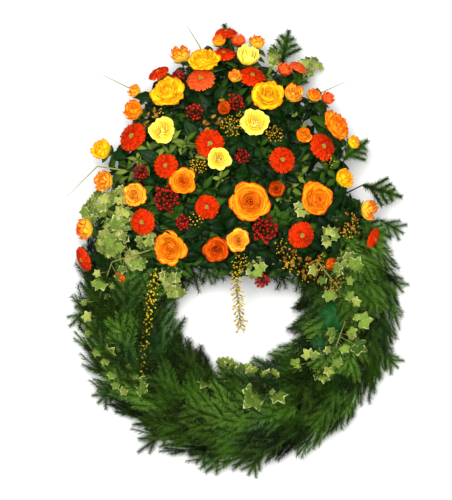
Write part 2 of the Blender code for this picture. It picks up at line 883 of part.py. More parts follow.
def foam_root(head, ahead, foot, wreath, placed, cutters):
    """The lower end of a spray's stem, from inside the foam up to where the spray starts."""
    inside = seen_at(*foot, STEM_FOOT)
    back = (head - ahead).normalized()

    def make(attempt):
        turn = GOLDEN * attempt
        stray = Vector((math.cos(turn), math.sin(turn), 0)) * attempt * FORK_STEP
        knee = 0.5 * (inside + head) + back * ROOT_BEND + stray
        make.route = [inside + stray, knee, head]
        return Grown([tube("root", make.route, [TWIG_RADIUS] * 3, wreath)], [])

    grown = first_clear("a root", make, FORK_TRIES, placed)
    cut_hole(make.route, cutters)
    return grown.stems[0]


def seed_spray(name, stops, wreath, placed, cutters, shade):
    """A thin stem with pairs of small round seed heads on short stalks."""
    route = [seen_at(across, down, height * MM) for across, down, height in stops]

    def stem(attempt):
        stem.route = [p + Vector((0, 0, VINE_STEP * attempt)) for p in route]
        return Grown([], [tube("stem", stem.route, [TWIG_RADIUS] * len(route), wreath)])

    base = first_clear(name, stem, VINE_TRIES, placed)
    pieces = pins(stem.route, wreath)
    feet = SEED_FEET[name]
    pieces.append(foam_root(stem.route[0], stem.route[1], feet, wreath, placed, cutters))
    count = 2 * SEED_PAIRS
    for k in range(count):
        share = (k + 0.6) / count * (len(route) - 1)
        leg = min(int(share), len(route) - 2)
        at = stem.route[leg].lerp(stem.route[leg + 1], share - leg)
        ahead = (stem.route[leg + 1] - stem.route[leg]).normalized()
        turn = SEED_TURN * k
        up = Vector((0, 0, 1))
        side = ahead.cross(up).normalized()
        away = side * math.cos(turn) + up * abs(math.sin(turn)) + ahead * SEED_LEAN
        end = at + away.normalized() * SEED_STALK
        drop = seed_drop(at, end, wreath)
        if placed.touched_by(drop):
            bpy.data.objects.remove(drop)
            continue
        pieces.append(drop)
    finished(name, base.rest[0], pieces, shade, placed)


def dark_leaves(name, wreath, placed, cutters, shade):
    """Pointed leaves and leafy twigs low between the heads, all on one stem in the foam."""
    above = seen_at(*FOAM_PIXEL, FOAM_TOP + FORK_OVER_FOAM)
    base, fork = trunk(name, above, LEAF_SHARE, wreath, placed, cutters)
    pieces = []
    for across, down, length in DARK_LEAVES:
        place, facing = mound_at(across, down)

        def make(attempt):
            deep = place - facing * (LEAF_DEPTH - LEAF_STEP * (attempt % 8))
            at = nearby(deep, facing, attempt % 6, across + attempt)
            size = length * PIXEL * (1 - LEAF_SHRINK * attempt)
            outline, notch = leaf_outline(size), DARK_NOTCH * size
            return Grown([], [stalked_leaf(outline, notch, at, fork, facing, size, wreath)])

        pieces.extend(first_clear(name, make, LEAF_TRIES, placed).rest)
    pieces.extend(fill_twigs(fork, wreath, placed))
    finished(name, base, pieces, shade, placed)


def fill_twigs(fork, wreath, placed):
    """Leafy twigs spread over the mound, each where the heads and their stems leave room."""
    found = []
    for k in range(FILL_TWIGS):
        first, last = FILL_SHARES
        share = first + (last - first) * math.sqrt((k + 0.5) / FILL_TWIGS)
        x, y = math.cos(k * GOLDEN), math.sin(k * GOLDEN)
        reach = MOUND_UP if y > 0 else FILL_DOWN
        across, down = POLE[0] + MOUND_ACROSS * share * x, POLE[1] - reach * share * y
        place, facing = mound_at(across, down)

        def make(attempt):
            deep = place - facing * (FILL_DEPTH + FILL_STEP * (attempt % FILL_DEPTHS))
            outward = (deep - fork) - (deep - fork).project(facing)
            turn = math.radians(FILL_TURNS[attempt // FILL_DEPTHS])
            away = Matrix.Rotation(turn, 3, facing) @ outward.normalized()
            near, far = deep - 0.5 * FILL_LENGTH * away, deep + 0.5 * FILL_LENGTH * away
            knee = fork.lerp(near, FILL_KNEE)
            knee.z = max(knee.z, FOAM_TOP + OVER_FOAM)
            stalk = [fork, knee, near + away * TWIG_OVERLAP]
            route = [near, deep + facing * FILL_BOW, far]
            twig = needle_spray(route, facing, FILL_PAIRS, FILL_LEAF, FILL_ANGLE, wreath)
            return Grown([], [tube("stalk", stalk, [TWIG_RADIUS] * 3, wreath), twig])

        tries = FILL_DEPTHS * len(FILL_TURNS)
        grown = first_clear("a leafy twig", make, tries, placed, needed=False)
        if grown:
            placed.add(grown.rest[1])
            found.append(grown)
    for grown in found:
        placed.forget(grown.rest[1].name)
    return [obj for grown in found for obj in grown.rest]


def sprigs(name, ends, wreath, placed, cutters, shade):
    """Fir twigs out of one stem in the foam, with needles along their ends."""
    tips = [mound_at(*end)[0] for _, end in ends]
    middle = sum(tips, Vector()) / len(tips)
    base, fork = trunk(name, middle, FORK_SHARE, wreath, placed, cutters)
    pieces = []
    for start, end in ends:

        def make(attempt):
            low, aside = attempt % 8, attempt // 8
            drop = Vector((math.cos(attempt) * SPRIG_SHIFT * aside, 0, -SPRIG_DROP * low))
            near = mound_at(*start)[0] + drop
            far = mound_at(*end)[0] + drop
            knee = 0.5 * (fork + near) - Vector((0, 0, SPRIG_BOW * 2 * aside))
            ahead = (far - near).normalized()
            up = (Vector((0, 0, 1)) - ahead * ahead.z).normalized()
            reach = far - ahead * 0.5 * NEEDLE_LENGTH
            stalk = [fork, knee, near + ahead * TWIG_OVERLAP]
            twig = tube("twig", stalk, [TWIG_RADIUS] * 3, wreath)
            route = [near, 0.5 * (near + reach) + up * SPRIG_BOW, reach]
            spray = needle_spray(route, up, SPRAY_PAIRS, NEEDLE_LENGTH, NEEDLE_ANGLE, wreath)
            return Grown([], [twig, spray])

        pieces.extend(first_clear(name, make, SPRIG_TRIES, placed).rest)
    finished(name, base, pieces, shade, placed)


def grass(name, wreath, placed, cutters, shade):
    """Thin blades that arch out of the mound from one tuft in the foam."""
    above = seen_at(*GRASS_FORK, FOAM_TOP + FORK_OVER_FOAM)
    base, fork = trunk(name, above, GRASS_SHARE, wreath, placed, cutters)
    pieces = []
    for start, end in GRASS:

        def make(attempt):
            drop = Vector((0, 0, -GRASS_DROP * (attempt % 8)))
            near = mound_at(*start)[0] + drop
            far = mound_at(*end)[0] + 1.2 * drop
            side = Vector((math.cos(attempt), math.sin(attempt), 0)) * GRASS_SHIFT
            knee = 0.5 * (fork + near + drop) + side * (attempt // 8)
            radii = [GRASS_RADIUS, GRASS_RADIUS, GRASS_RADIUS, 0.6 * GRASS_RADIUS]
            return Grown([], [tube("blade", [fork, knee, near, far], radii, wreath)])

        pieces.extend(first_clear(name, make, GRASS_TRIES, placed).rest)
    finished(name, base, pieces, shade, placed)


def section_profile(grow):
    """The straw ring's section, a little larger by the growth, and flat where it rests."""
    points = []
    reach = STRAW_RADIUS + grow
    for i in range(SECTION_SIDES):
        angle = math.radians(90 - 360 / SECTION_SIDES * (i + 0.5))
        height = max(0, STRAW_HEIGHT + reach * math.sin(angle))
        points.append((RING_RADIUS + reach * math.cos(angle), 0, height))
    return points


def turned_ring(name, grow, group):
    """A closed ring turned from the section by a Screw."""
    middle = ring_middle()
    points = section_profile(grow)
    mesh = bpy.data.meshes.new(name)
    mesh.from_pydata(points, [(i, (i + 1) % len(points)) for i in range(len(points))], [])
    ring = bpy.data.objects.new(name, mesh)
    ring.location = (middle.x, middle.y, 0)
    ring.rotation_euler.z = math.pi / RING_STEPS
    group.objects.link(ring)
    turn = ring.modifiers.new("turn", "SCREW")
    turn.steps = RING_STEPS
    turn.render_steps = RING_STEPS
    turn.use_merge_vertices = True
    turn.merge_threshold = 0.0001
    graph = bpy.context.evaluated_depsgraph_get()
    ring.data = bpy.data.meshes.new_from_object(ring.evaluated_get(graph))
    ring.modifiers.clear()
    shape = bmesh.new()
    shape.from_mesh(ring.data)
    bmesh.ops.recalc_face_normals(shape, faces=shape.faces)
    shape.to_mesh(ring.data)
    shape.free()
    return ring


def foam_block(name, group):
    """The block before its saddle and holes are cut."""
    middle = seen_at(*FOAM_PIXEL, PIXEL_HEIGHT)
    mesh = bpy.data.meshes.new(name)
    shape = bmesh.new()
    bmesh.ops.create_cube(shape, size=1)
    bmesh.ops.scale(shape, vec=FOAM_SIZE, verts=shape.verts)
    raised = Vector((middle.x, middle.y, FOAM_TOP - 0.5 * FOAM_SIZE[2]))
    bmesh.ops.translate(shape, vec=raised, verts=shape.verts)
    upper = [e for e in shape.edges if all(v.co.z > raised.z for v in e.verts)]
    bmesh.ops.bevel(shape, geom=upper, offset=FOAM_BEVEL, segments=1, affect="EDGES")
    shape.to_mesh(mesh)
    shape.free()
    obj = bpy.data.objects.new(name, mesh)
    group.objects.link(obj)
    return obj


def facet_share(angle, sides):
    """How far a polygon reaches at this angle, as a share of its corners' radius."""
    side = 360 / sides
    off = (angle + 0.5 * side) % side - 0.5 * side
    return math.cos(math.radians(0.5 * side)) / math.cos(math.radians(off))


def ring_spot(turn, roll, lift):
    """A point over the ring: degrees round it, degrees round its section, height off the mat."""
    middle = ring_middle()
    reach = (STRAW_RADIUS + GAP + MAT_THICKNESS) * facet_share(roll, SECTION_SIDES) + lift
    out = RING_RADIUS + reach * math.cos(math.radians(roll))
    out *= facet_share(turn, RING_STEPS)
    angle = math.radians(turn)
    z = STRAW_HEIGHT + reach * math.sin(math.radians(roll))
    return Vector((middle.x + out * math.cos(angle), middle.y + out * math.sin(angle), z))


def fir_mat(first, last, steps, group):
    """A thin cover over the top and the flanks of the ring, between two angles."""
    side = 360 / SECTION_SIDES
    rolls = [90 + side * (i - 2.5) for i in range(6)]
    inner = [(roll, -MAT_THICKNESS) for roll in rolls]
    outer = [(roll, 0) for roll in reversed(rolls)]
    points, faces = [], []
    for step in range(steps + 1):
        turn = first + (last - first) * step / steps
        points.extend(ring_spot(turn, roll, lift) for roll, lift in inner + outer)
    count = len(inner + outer)
    for step in range(steps):
        for i in range(count):
            a, b = step * count + i, step * count + (i + 1) % count
            faces.append((a, b, b + count, a + count))
    faces.append(tuple(range(count)))
    faces.append(tuple(reversed(range(steps * count, (steps + 1) * count))))
    obj = mesh_object("mat", points, faces, group)
    shape = bmesh.new()
    shape.from_mesh(obj.data)
    bmesh.ops.triangulate(shape, faces=shape.faces)
    bmesh.ops.recalc_face_normals(shape, faces=shape.faces)
    shape.to_mesh(obj.data)
    shape.free()
    return obj


def bundle_mat(number, wreath, placed):
    """The mat of one sector, set before the flowers so that they stay clear of it."""
    start = FIR_START + FIR_SECTOR * number
    first, last = start + FIR_JOINT, start + FIR_SECTOR - FIR_JOINT
    mat = fir_mat(first, last, FIR_SECTOR * RING_STEPS // 360, wreath)
    mat.name = f"fir_bundle_{number + 1:02d}"
    placed.add(mat)
    return mat


def fir_sector(number, mat, wreath, placed, shade):
    """The sprays of one sector, which flow clockwise over its mat."""
    name = mat.name
    last = FIR_START + FIR_SECTOR * (number + 1) - FIR_JOINT
    placed.forget(name)
    draw = random.Random(FIR_SEED + number)
    pieces = []
    for share, sweep, roll, lift in FIR_SPRAYS:
        jitter = draw.uniform(-1, 1)

        def make(attempt):
            begin = last - share * FIR_SECTOR - 1
            swept = sweep + jitter
            rolls, lower = len(FIR_ROLLS), attempt // len(FIR_ROLLS)
            turned = roll + 3 * jitter + FIR_ROLLS[attempt % rolls]
            high = lift * (1 - FIR_LOWER * lower) * (1 + 0.06 * jitter)
            belly = FIR_BELLY[0] * high + FIR_BELLY[1]
            route = [
                ring_spot(begin, turned, -FIR_SINK),
                ring_spot(begin - 0.5 * swept, turned, belly),
                ring_spot(begin - swept, turned, high),
            ]
            ahead = (route[2] - route[0]).normalized()
            normal = Vector((0, 0, 1))
            if roll >= FIR_TOP:
                normal = ring_spot(begin, turned, 1) - ring_spot(begin, turned, 0)
            up = (normal - ahead * normal.dot(ahead)).normalized()
            spray = needle_spray(route, up, SPRAY_PAIRS, NEEDLE_LENGTH, NEEDLE_ANGLE, wreath)
            return Grown([], [spray])

        grown = first_clear(name, make, FIR_TRIES, placed, needed=False)
        if grown:
            pieces.extend(grown.rest)
    finished(name, mat, pieces, shade, placed)


def main():
    clear_scene()
    wreath = new_collection("memorial_wreath")
    cutters = new_collection("stem_holes", hidden=True)
    placed = Placed()
    straw = material("bound_straw", STRAW, 0.9)
    foam = material("floral_foam", FOAM_GREEN, 0.95)
    gerbera = material("gerbera_petal", ORANGE_RED, 0.6)
    orange = material("rose_petal_orange", ORANGE, 0.55)
    yellow = material("rose_petal_yellow", YELLOW, 0.55)
    berry = material("berry_red", BERRY_RED, 0.25)
    seed = material("seed_yellow", BERRY_YELLOW, 0.5)
    fir = material("fir_green", GREEN, 0.6)
    leaf = material("ivy_leaf", LEAF_GREEN, 0.4)
    dark = material("dark_leaf", GREEN, 0.3)
    blade = material("grass_blade", LEAF_GREEN, 0.5)
    ring = turned_ring("straw_ring", 0, wreath)
    finished("straw_ring", ring, [], straw, placed)
    block = foam_block("floral_foam", wreath)
    placed.add(block)
    mats = [bundle_mat(number, wreath, placed) for number in range(FIR_SECTORS)]
    for name, spot in GERBERAS.items():
        bloom(name, spot, gerbera_head, wreath, placed, cutters, gerbera)
    for name, spot in ROSES.items():
        shade = yellow if "orange" not in name and "rust" not in name else orange
        bloom(name, spot, rose_head, wreath, placed, cutters, shade)
    for name, spots in SPRAYS.items():
        branched(name, spots, wreath, placed, cutters, orange)
    for name, spots in BERRY_BUNCHES.items():
        branched(name, spots, wreath, placed, cutters, berry)
    for name, ends in SPRIGS.items():
        sprigs(name, ends, wreath, placed, cutters, fir)
    for name, (vine, leaves) in IVY.items():
        ivy(name, vine, leaves, wreath, placed, leaf)
    for name, stops in SEED_SPRAYS.items():
        seed_spray(name, stops, wreath, placed, cutters, seed)
    dark_leaves("dark_leaves", wreath, placed, cutters, dark)
    grass("grass_blades", wreath, placed, cutters, blade)
    for number, mat in enumerate(mats):
        fir_sector(number, mat, wreath, placed, fir)
    boolean(block, [turned_ring("saddle", 2 * GAP, cutters), *cutters.objects], "DIFFERENCE")
    finished("floral_foam", block, [], foam, placed)


main()
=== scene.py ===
"""Dresses the memorial wreath: finer fir, blooms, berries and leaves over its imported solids.

The wreath lies on its back. +Z is up, out of its face, and the camera looks straight down on it.
Every piece is built in metres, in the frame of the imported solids, and rides on the body "root".
"""

from __future__ import annotations

import logging
import math
import random
from collections.abc import Callable, Iterator
from dataclasses import dataclass, field
from enum import Enum
from functools import cache, partial
from typing import Any

import bmesh
import bpy
import numpy as np
from mathutils import Matrix, Vector


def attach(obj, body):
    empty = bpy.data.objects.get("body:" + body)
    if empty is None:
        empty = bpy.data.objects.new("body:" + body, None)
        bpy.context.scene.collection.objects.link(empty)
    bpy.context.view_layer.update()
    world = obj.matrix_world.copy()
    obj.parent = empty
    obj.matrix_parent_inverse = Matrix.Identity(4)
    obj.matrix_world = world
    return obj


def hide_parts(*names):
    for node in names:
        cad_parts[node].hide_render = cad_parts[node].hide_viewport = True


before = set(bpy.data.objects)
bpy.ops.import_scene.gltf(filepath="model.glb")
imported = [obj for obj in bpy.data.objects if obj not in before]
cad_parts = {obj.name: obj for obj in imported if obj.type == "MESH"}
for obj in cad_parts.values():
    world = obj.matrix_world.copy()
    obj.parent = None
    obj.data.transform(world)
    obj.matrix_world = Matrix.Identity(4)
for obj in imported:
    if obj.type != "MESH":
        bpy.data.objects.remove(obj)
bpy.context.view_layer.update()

LOG = logging.getLogger("wreath")
MM = 0.001
UP = Vector((0, 0, 1))
GOLDEN = math.radians(137.5)

# The photograph's own frame: pixels, what they measure, and how high the camera stands
PIXEL = 2.3 * MM
PHOTO_MIDDLE = (226, 250)
PHOTO_SIZE = (452, 500)
OUTLINE_MIDDLE = (235, 244)
RING_MIDDLE = (238, 305)
VIEW_HEIGHT = 4.0
PIXEL_HEIGHT = 70 * MM
SENSOR = 36.0

# The straw ring and the fir bound on it
RING_RADIUS = 250 * MM
STRAW_RADIUS = 60 * MM
STRAW_HEIGHT = 55 * MM
MAT_THICKNESS = 8 * MM
FIR_SECTORS = 8
FIR_START = 126.0
FIR_SECTOR = 36.0

# The foam block and the mound of flowers over it
FOAM_PIXEL = (238, 198)
FOAM_TOP = 198 * MM
STEM_FOOT = 150 * MM
STEM_SPREAD = (0.30, 0.16)
FOOT_REACH = (110 * MM, 50 * MM)
STEM_RADIUS = 2.6 * MM
POLE = (226, 200)
MOUND_ACROSS = 150
MOUND_UP = 168
MOUND_DOWN = 110
MOUND_RIM = 112 * MM
MOUND_TOP = 292 * MM
RIM_TILT = 80
TILT_POWER = 2.5
OVER_FIR = 14 * MM

# How high a head stands over its origin: a gerbera in metres, a rose as a share of its radius
GERBERA_HEIGHT = 8 * MM
ROSE_HEIGHT = 0.74
# How far past its radius a head's highest point is looked for
HEAD_SEARCH = 24 * MM


class Hue(Enum):
    """The colours that the blooms come in."""

    SCARLET = "scarlet"
    SALMON = "salmon"
    LEMON = "lemon"
    GOLD = "gold"
    ORANGE = "orange"
    RUST = "rust"
    BLUSH = "blush"


# The heads in the photo, in pixels: (across, down, width, colour)
GERBERAS = {
    "gerbera_crown": (226, 34, 23, Hue.SCARLET),
    "gerbera_top": (223, 55, 25, Hue.SCARLET),
    "gerbera_upper_left": (201, 80, 30, Hue.SALMON),
    "gerbera_shoulder_left": (159, 74, 23, Hue.SCARLET),
    "gerbera_upper_right": (252, 77, 27, Hue.SCARLET),
    "gerbera_far_left": (133, 137, 31, Hue.SCARLET),
    "gerbera_middle": (210, 144, 30, Hue.SCARLET),
    "gerbera_left": (166, 166, 25, Hue.SCARLET),
    "gerbera_heart": (207, 207, 25, Hue.SCARLET),
    "gerbera_low_left": (143, 222, 27, Hue.SCARLET),
    "gerbera_rim_left": (87, 262, 27, Hue.SCARLET),
    "gerbera_right": (282, 160, 27, Hue.SCARLET),
    "gerbera_far_right": (322, 147, 29, Hue.SCARLET),
    "gerbera_low_right": (301, 235, 28, Hue.SCARLET),
    "gerbera_rim_right": (366, 247, 23, Hue.SCARLET),
    "gerbera_shoulder_right": (298, 68, 19, Hue.SALMON),
}
ROSES = {
    "rose_yellow_upper_left": (168, 95, 37, Hue.GOLD),
    "rose_yellow_top": (204, 65, 33, Hue.GOLD),
    "rose_lemon_left": (163, 131, 28, Hue.LEMON),
    "rose_orange_left": (183, 182, 28, Hue.ORANGE),
    "rose_orange_low_left": (171, 247, 34, Hue.ORANGE),
    "rose_orange_middle": (250, 202, 40, Hue.ORANGE),
    "rose_orange_right": (315, 199, 37, Hue.ORANGE),
    "rose_yellow_upper_right": (267, 98, 36, Hue.GOLD),
    "rose_lemon_right": (255, 123, 29, Hue.LEMON),
    "rose_orange_far_right": (334, 127, 33, Hue.ORANGE),
    "rose_yellow_left": (136, 195, 25, Hue.BLUSH),
    "rose_cream_middle": (219, 159, 25, Hue.LEMON),
    "rose_yellow_low": (238, 240, 23, Hue.BLUSH),
    "rose_rust_low": (217, 249, 27, Hue.RUST),
}
SPRAYS = {
    "spray_roses_left": [
        (107, 152, 22, Hue.GOLD), (109, 182, 21, Hue.BLUSH), (137, 114, 21, Hue.ORANGE),
    ],
    "spray_roses_rim_left": [(91, 227, 22, Hue.BLUSH), (126, 279, 14, Hue.RUST)],
    "spray_roses_shoulder": [(182, 60, 21, Hue.BLUSH), (137, 94, 14, Hue.BLUSH)],
    "spray_roses_crown": [
        (219, 45, 15, Hue.ORANGE), (238, 45, 15, Hue.SALMON), (256, 47, 17, Hue.BLUSH),
    ],
    "spray_roses_top": [
        (247, 62, 24, Hue.LEMON), (235, 79, 14, Hue.BLUSH), (224, 110, 14, Hue.RUST),
    ],
    "spray_roses_upper_right": [
        (283, 73, 15, Hue.SALMON), (291, 97, 20, Hue.BLUSH), (311, 98, 15, Hue.ORANGE),
        (325, 101, 15, Hue.SALMON),
    ],
    "spray_roses_middle": [(302, 137, 16, Hue.ORANGE), (276, 189, 17, Hue.RUST)],
    "spray_roses_right": [
        (350, 144, 14, Hue.GOLD), (340, 179, 20, Hue.GOLD), (363, 209, 21, Hue.BLUSH),
        (328, 262, 14, Hue.RUST),
    ],
}
# Bunches of berries: (across, down, width in pixels, how many)
BERRY_BUNCHES = {
    "berries_left": [(167, 199, 24, 84), (141, 173, 14, 28), (183, 222, 13, 24)],
    "berries_right": [(265, 230, 24, 84), (242, 156, 13, 24), (262, 280, 14, 26)],
    "berries_top": [(237, 104, 16, 36), (195, 112, 15, 30), (178, 77, 13, 26)],
}
# The vine in pixels, then each leaf as (across, down, width)
IVY = {
    "ivy_left": (
        [(150, 250), (112, 262), (98, 300), (98, 340), (118, 368), (134, 384)],
        [
            (117, 224, 19), (111, 243, 18), (136, 262, 18), (103, 283, 17), (91, 331, 17),
            (112, 350, 17), (117, 394, 19), (142, 387, 16),
        ],
    ),
    "ivy_right": (
        [(318, 262), (338, 288), (344, 322), (334, 350), (310, 368)],
        [
            (353, 266, 20), (334, 314, 31), (361, 320, 19), (356, 345, 19), (318, 344, 17),
            (297, 365, 17), (322, 374, 16),
        ],
    ),
    "ivy_bottom": (
        [(208, 372), (230, 378), (252, 380), (272, 382)],
        [(204, 385, 17), (231, 368, 15), (250, 397, 30), (278, 396, 20)],
    ),
}
# Where the mound's leaves end, seen by the camera
MOUND_EDGE = [
    (226, 28), (205, 40), (182, 54), (158, 70), (138, 90), (122, 112), (104, 138), (96, 165),
    (90, 192), (82, 216), (78, 250), (84, 285), (150, 292), (200, 282), (300, 284), (352, 290),
    (376, 268), (374, 222), (364, 176), (356, 136), (340, 104), (318, 74), (296, 52), (262, 34),
]
# The ivy leaves that are green all over
DARK_IVY = {(334, 314), (318, 344)}
# Clusters of pale lobed leaves: (across, down, reach in pixels, how many)
PALE_CLUSTERS = [
    (112, 233, 13, 22), (124, 218, 9, 12), (103, 247, 10, 14), (132, 262, 9, 10),
    (98, 203, 11, 12), (118, 197, 8, 8), (88, 212, 7, 7), (168, 278, 9, 9), (172, 293, 7, 7),
    (145, 240, 8, 8), (348, 262, 9, 8), (304, 209, 5, 3), (276, 54, 7, 6), (307, 66, 8, 7),
    (316, 59, 6, 5), (254, 268, 9, 7), (330, 236, 7, 5),
]
# Small gold seeds and bronze bracts between the heads: (across, down, reach, how many)
GOLD_SEEDS = [
    (231, 126, 11, 70), (275, 134, 9, 44), (198, 165, 9, 50), (243, 118, 8, 34),
    (158, 114, 7, 16), (350, 226, 13, 64), (308, 270, 13, 56), (337, 286, 12, 44),
    (322, 262, 10, 34), (290, 262, 10, 34), (386, 270, 6, 12), (240, 262, 9, 30),
    (122, 200, 9, 22), (280, 246, 8, 18), (196, 220, 8, 16), (330, 160, 8, 18),
]
BRONZE_BRACTS = [
    (308, 268, 12, 16), (337, 287, 11, 16), (345, 222, 10, 12), (322, 276, 9, 12),
    (290, 256, 9, 9), (212, 122, 7, 6), (150, 118, 8, 7), (228, 100, 7, 6),
]
# The stem's points: (across, down, height in millimetres), and where it enters the foam
SEED_SPRAYS = {
    "seed_spray_left": [(158, 268, 180), (151, 300, 136), (146, 335, 134), (142, 376, 132)],
    "seed_spray_hanging": [(238, 262, 232), (236, 285, 205), (239, 305, 172), (241, 328, 132)],
}
SEED_FEET = {"seed_spray_left": (207, 208), "seed_spray_hanging": (238, 208)}
# (across, down, length in pixels)
DARK_LEAVES = [
    (203, 101, 30), (190, 128, 30), (243, 170, 28), (300, 152, 30), (146, 154, 30),
    (292, 88, 28), (262, 262, 28), (192, 232, 28), (116, 208, 30), (342, 222, 30),
    (232, 128, 28), (150, 108, 28),
]
# Where each twig of fir comes out of the mound, and where it ends
SPRIGS = {
    "fir_sprigs_top": [
        ((221, 48), (217, 19)),
        ((282, 62), (289, 30)),
        ((298, 78), (304, 55)),
    ],
    "fir_sprigs_right": [
        ((346, 158), (368, 140)),
        ((366, 186), (402, 197)),
        ((368, 226), (398, 240)),
    ],
}
# Single fir tips: where each starts and ends, its height in metres and how light it is; the tips
# under the mound are made dark, as painted shade
FIR_TUFTS = [
    ((186, 250), (199, 292), 0.132, 0.15), ((200, 254), (212, 284), 0.138, 0.3),
    ((172, 262), (186, 290), 0.128, 0.1), ((214, 256), (224, 280), 0.138, 0.2),
    ((278, 260), (286, 288), 0.132, 0.2), ((160, 262), (174, 284), 0.128, 0.2),
    ((262, 260), (268, 282), 0.138, 0.1), ((296, 262), (304, 290), 0.130, 0.2),
    ((176, 425), (138, 452), 0.040, 0.3), ((215, 440), (196, 463), 0.036, 0.9),
    ((232, 446), (206, 472), 0.036, 0.7), ((262, 450), (248, 475), 0.036, 0.6),
    ((116, 385), (98, 403), 0.036, 0.8), ((96, 300), (70, 326), 0.036, 0.7),
    ((380, 220), (403, 233), 0.040, 0.8), ((384, 270), (403, 292), 0.040, 0.9),
    ((380, 350), (398, 368), 0.036, 0.7),
]
# Where each blade comes out of the mound, and where it ends; then where they meet
GRASS = [
    ((131, 88), (99, 72)), ((200, 46), (186, 24)), ((97, 166), (66, 197)),
    ((322, 92), (348, 80)),
]
GRASS_FORK = (228, 182)

# What adds a node to a tree that is already given
Adder = Callable[..., bpy.types.Node]
# A finish's colour, its relief or None, and how deep that is in metres
Surface = tuple[bpy.types.Node, Any, float]


def linear(code: str) -> tuple[float, float, float, float]:
    """Turns an sRGB hex colour into a linear one.

    Args:
        code: six hex digits after a hash.
    Returns:
        Red, green, blue and full opacity.
    """
    parts = [int(code[i : i + 2], 16) / 255 for i in (1, 3, 5)]
    turned = [p / 12.92 if p <= 0.04045 else ((p + 0.055) / 1.055) ** 2.4 for p in parts]
    return (*turned, 1.0)


def feed(node: bpy.types.Node, inputs: dict[Any, Any]) -> bpy.types.Node:
    """Sets or links a node's inputs.

    Args:
        node: the node.
        inputs: by name or number, a fixed value, a socket, or a node for its first output.
    Returns:
        The node.
    """
    for key, value in inputs.items():
        if isinstance(value, bpy.types.Node):
            value = next(socket for socket in value.outputs if socket.enabled)
        if isinstance(value, bpy.types.NodeSocket):
            node.id_data.links.new(value, node.inputs[key])
        else:
            node.inputs[key].default_value = value
    return node


def add_node(
    tree: bpy.types.NodeTree, kind: str, inputs: dict[Any, Any] | None = None, **settings: Any
) -> bpy.types.Node:
    """Adds a node with its settings and links.

    Args:
        tree: the tree that it goes into.
        kind: the node's type.
        inputs: what its inputs are set to or fed by.
        settings: the node's own properties.
    Returns:
        The node.
    """
    node = tree.nodes.new(kind)
    for key, value in settings.items():
        setattr(node, key, value)
    return feed(node, inputs or {})


@dataclass(frozen=True)
class Finish:
    """The surface of one natural material.

    Attributes:
        name: the material's name.
        roughness: how matt it is.
        shine: how strongly it mirrors light, low where fine hairs or wax break it up.
        gloss: a clear waxy coat over it.
    """

    name: str
    roughness: float = 0.5
    shine: float = 0.12
    gloss: float = 0.0

    @cache
    def make(self) -> bpy.types.Material:
        """Builds the material once, and hands out the same one after that."""
        made = bpy.data.materials.new(self.name)
        made.use_nodes = True
        add = partial(add_node, made.node_tree)
        colour, relief, depth = self.surface(add)
        shader = made.node_tree.nodes["Principled BSDF"]
        feed(shader, {"Roughness": self.roughness, "Specular IOR Level": self.shine})
        feed(shader, {"Coat Weight": self.gloss, "Coat Roughness": 0.25, "Base Color": colour})
        if relief is not None:
            bump = add("ShaderNodeBump", {"Strength": 1.0, "Distance": depth, "Height": relief})
            feed(shader, {"Normal": bump})
        return made

    def surface(self, add: Adder) -> Surface:
        """Gives the colour, the relief if there is one, and the relief's depth in metres."""
        raise NotImplementedError

    def spot(self, add: Adder) -> tuple[bpy.types.NodeSocket, ...]:
        """Reads the place on a leaf or petal: across it, and from its base to its tip."""
        place = add("ShaderNodeUVMap", uv_map="blade")
        parts = add("ShaderNodeSeparateXYZ", {0: place})
        return parts.outputs[0], parts.outputs[1], place.outputs[0]

    def grain(self, add: Adder, size: float, detail: float = 2.0) -> bpy.types.NodeSocket:
        """Makes soft blotches of about this size in metres, fixed to the object."""
        place = add("ShaderNodeTexCoord").outputs["Object"]
        blotches = {"Scale": 1 / size, "Detail": detail, "Vector": place}
        return add("ShaderNodeTexNoise", blotches).outputs["Fac"]


@dataclass(frozen=True)
class NeedleFinish(Finish):
    """Fir needles: waxy, dark above, each a little different, with painted shade at their feet and
    a painted highlight towards the tip.

    Attributes:
        dark: the near-black green of the needles' feet, of the lower fronds and of the darker
            patches; at the feet and on the lower fronds it is painted shade.
        fresh: the colour of the youngest.
        cool: the bluish green of some fronds.
        tip: what the ends fade to, a painted highlight, strongest on the lightest fronds.
        patch: the size of the areas that lean to one colour.
    """

    dark: str = "#031001"
    fresh: str = "#4a8412"
    cool: str = "#125428"
    tip: str = "#b0c870"
    patch: float = 70 * MM

    def surface(self, add: Adder) -> Surface:
        """Mixes the green by needle and by area, darkens each needle's foot as painted shade and
        lightens the ends as a painted highlight.
        """
        along = add("ShaderNodeAttribute", attribute_name="along").outputs["Fac"]
        shade = add("ShaderNodeAttribute", attribute_name="shade").outputs["Fac"]
        area = {0: self.grain(add, self.patch), 1: 2.4, 2: -1.2}
        area = add("ShaderNodeMath", area, operation="MULTIPLY_ADD")
        # Each needle runs from near-black at its foot to its frond's tone at its end: painted
        # shade along the twig.
        lit = add("ShaderNodeMath", {0: along, 1: 0.9, 2: 0.12}, operation="MULTIPLY_ADD")
        lit = add("ShaderNodeMath", {0: lit, 1: shade}, operation="MULTIPLY")
        both = add("ShaderNodeMath", {0: area, 1: 0.35, 2: lit}, operation="MULTIPLY_ADD")
        stand = {"Value": self.grain(add, 1.7 * self.patch), "From Min": 0.5, "From Max": 0.66}
        bluish = add("ShaderNodeMapRange", stand)
        fresh = {0: bluish, 6: linear(self.fresh), 7: linear(self.cool)}
        fresh = add("ShaderNodeMix", fresh, data_type="RGBA")
        green = {0: add("ShaderNodeClamp", {0: both}), 6: linear(self.dark), 7: fresh}
        green = add("ShaderNodeMix", green, data_type="RGBA")
        # The ends fade towards the pale tip colour, more on the lighter fronds: a painted
        # highlight.
        light = add("ShaderNodeMath", {0: shade, 1: 0.55}, operation="MULTIPLY")
        end = add("ShaderNodeMath", {0: along, 1: 3.0}, operation="POWER")
        end = add("ShaderNodeMath", {0: end, 1: light}, operation="MULTIPLY")
        tipped = add("ShaderNodeMix", {0: end, 6: green, 7: linear(self.tip)}, data_type="RGBA")
        return tipped, None, 0.0


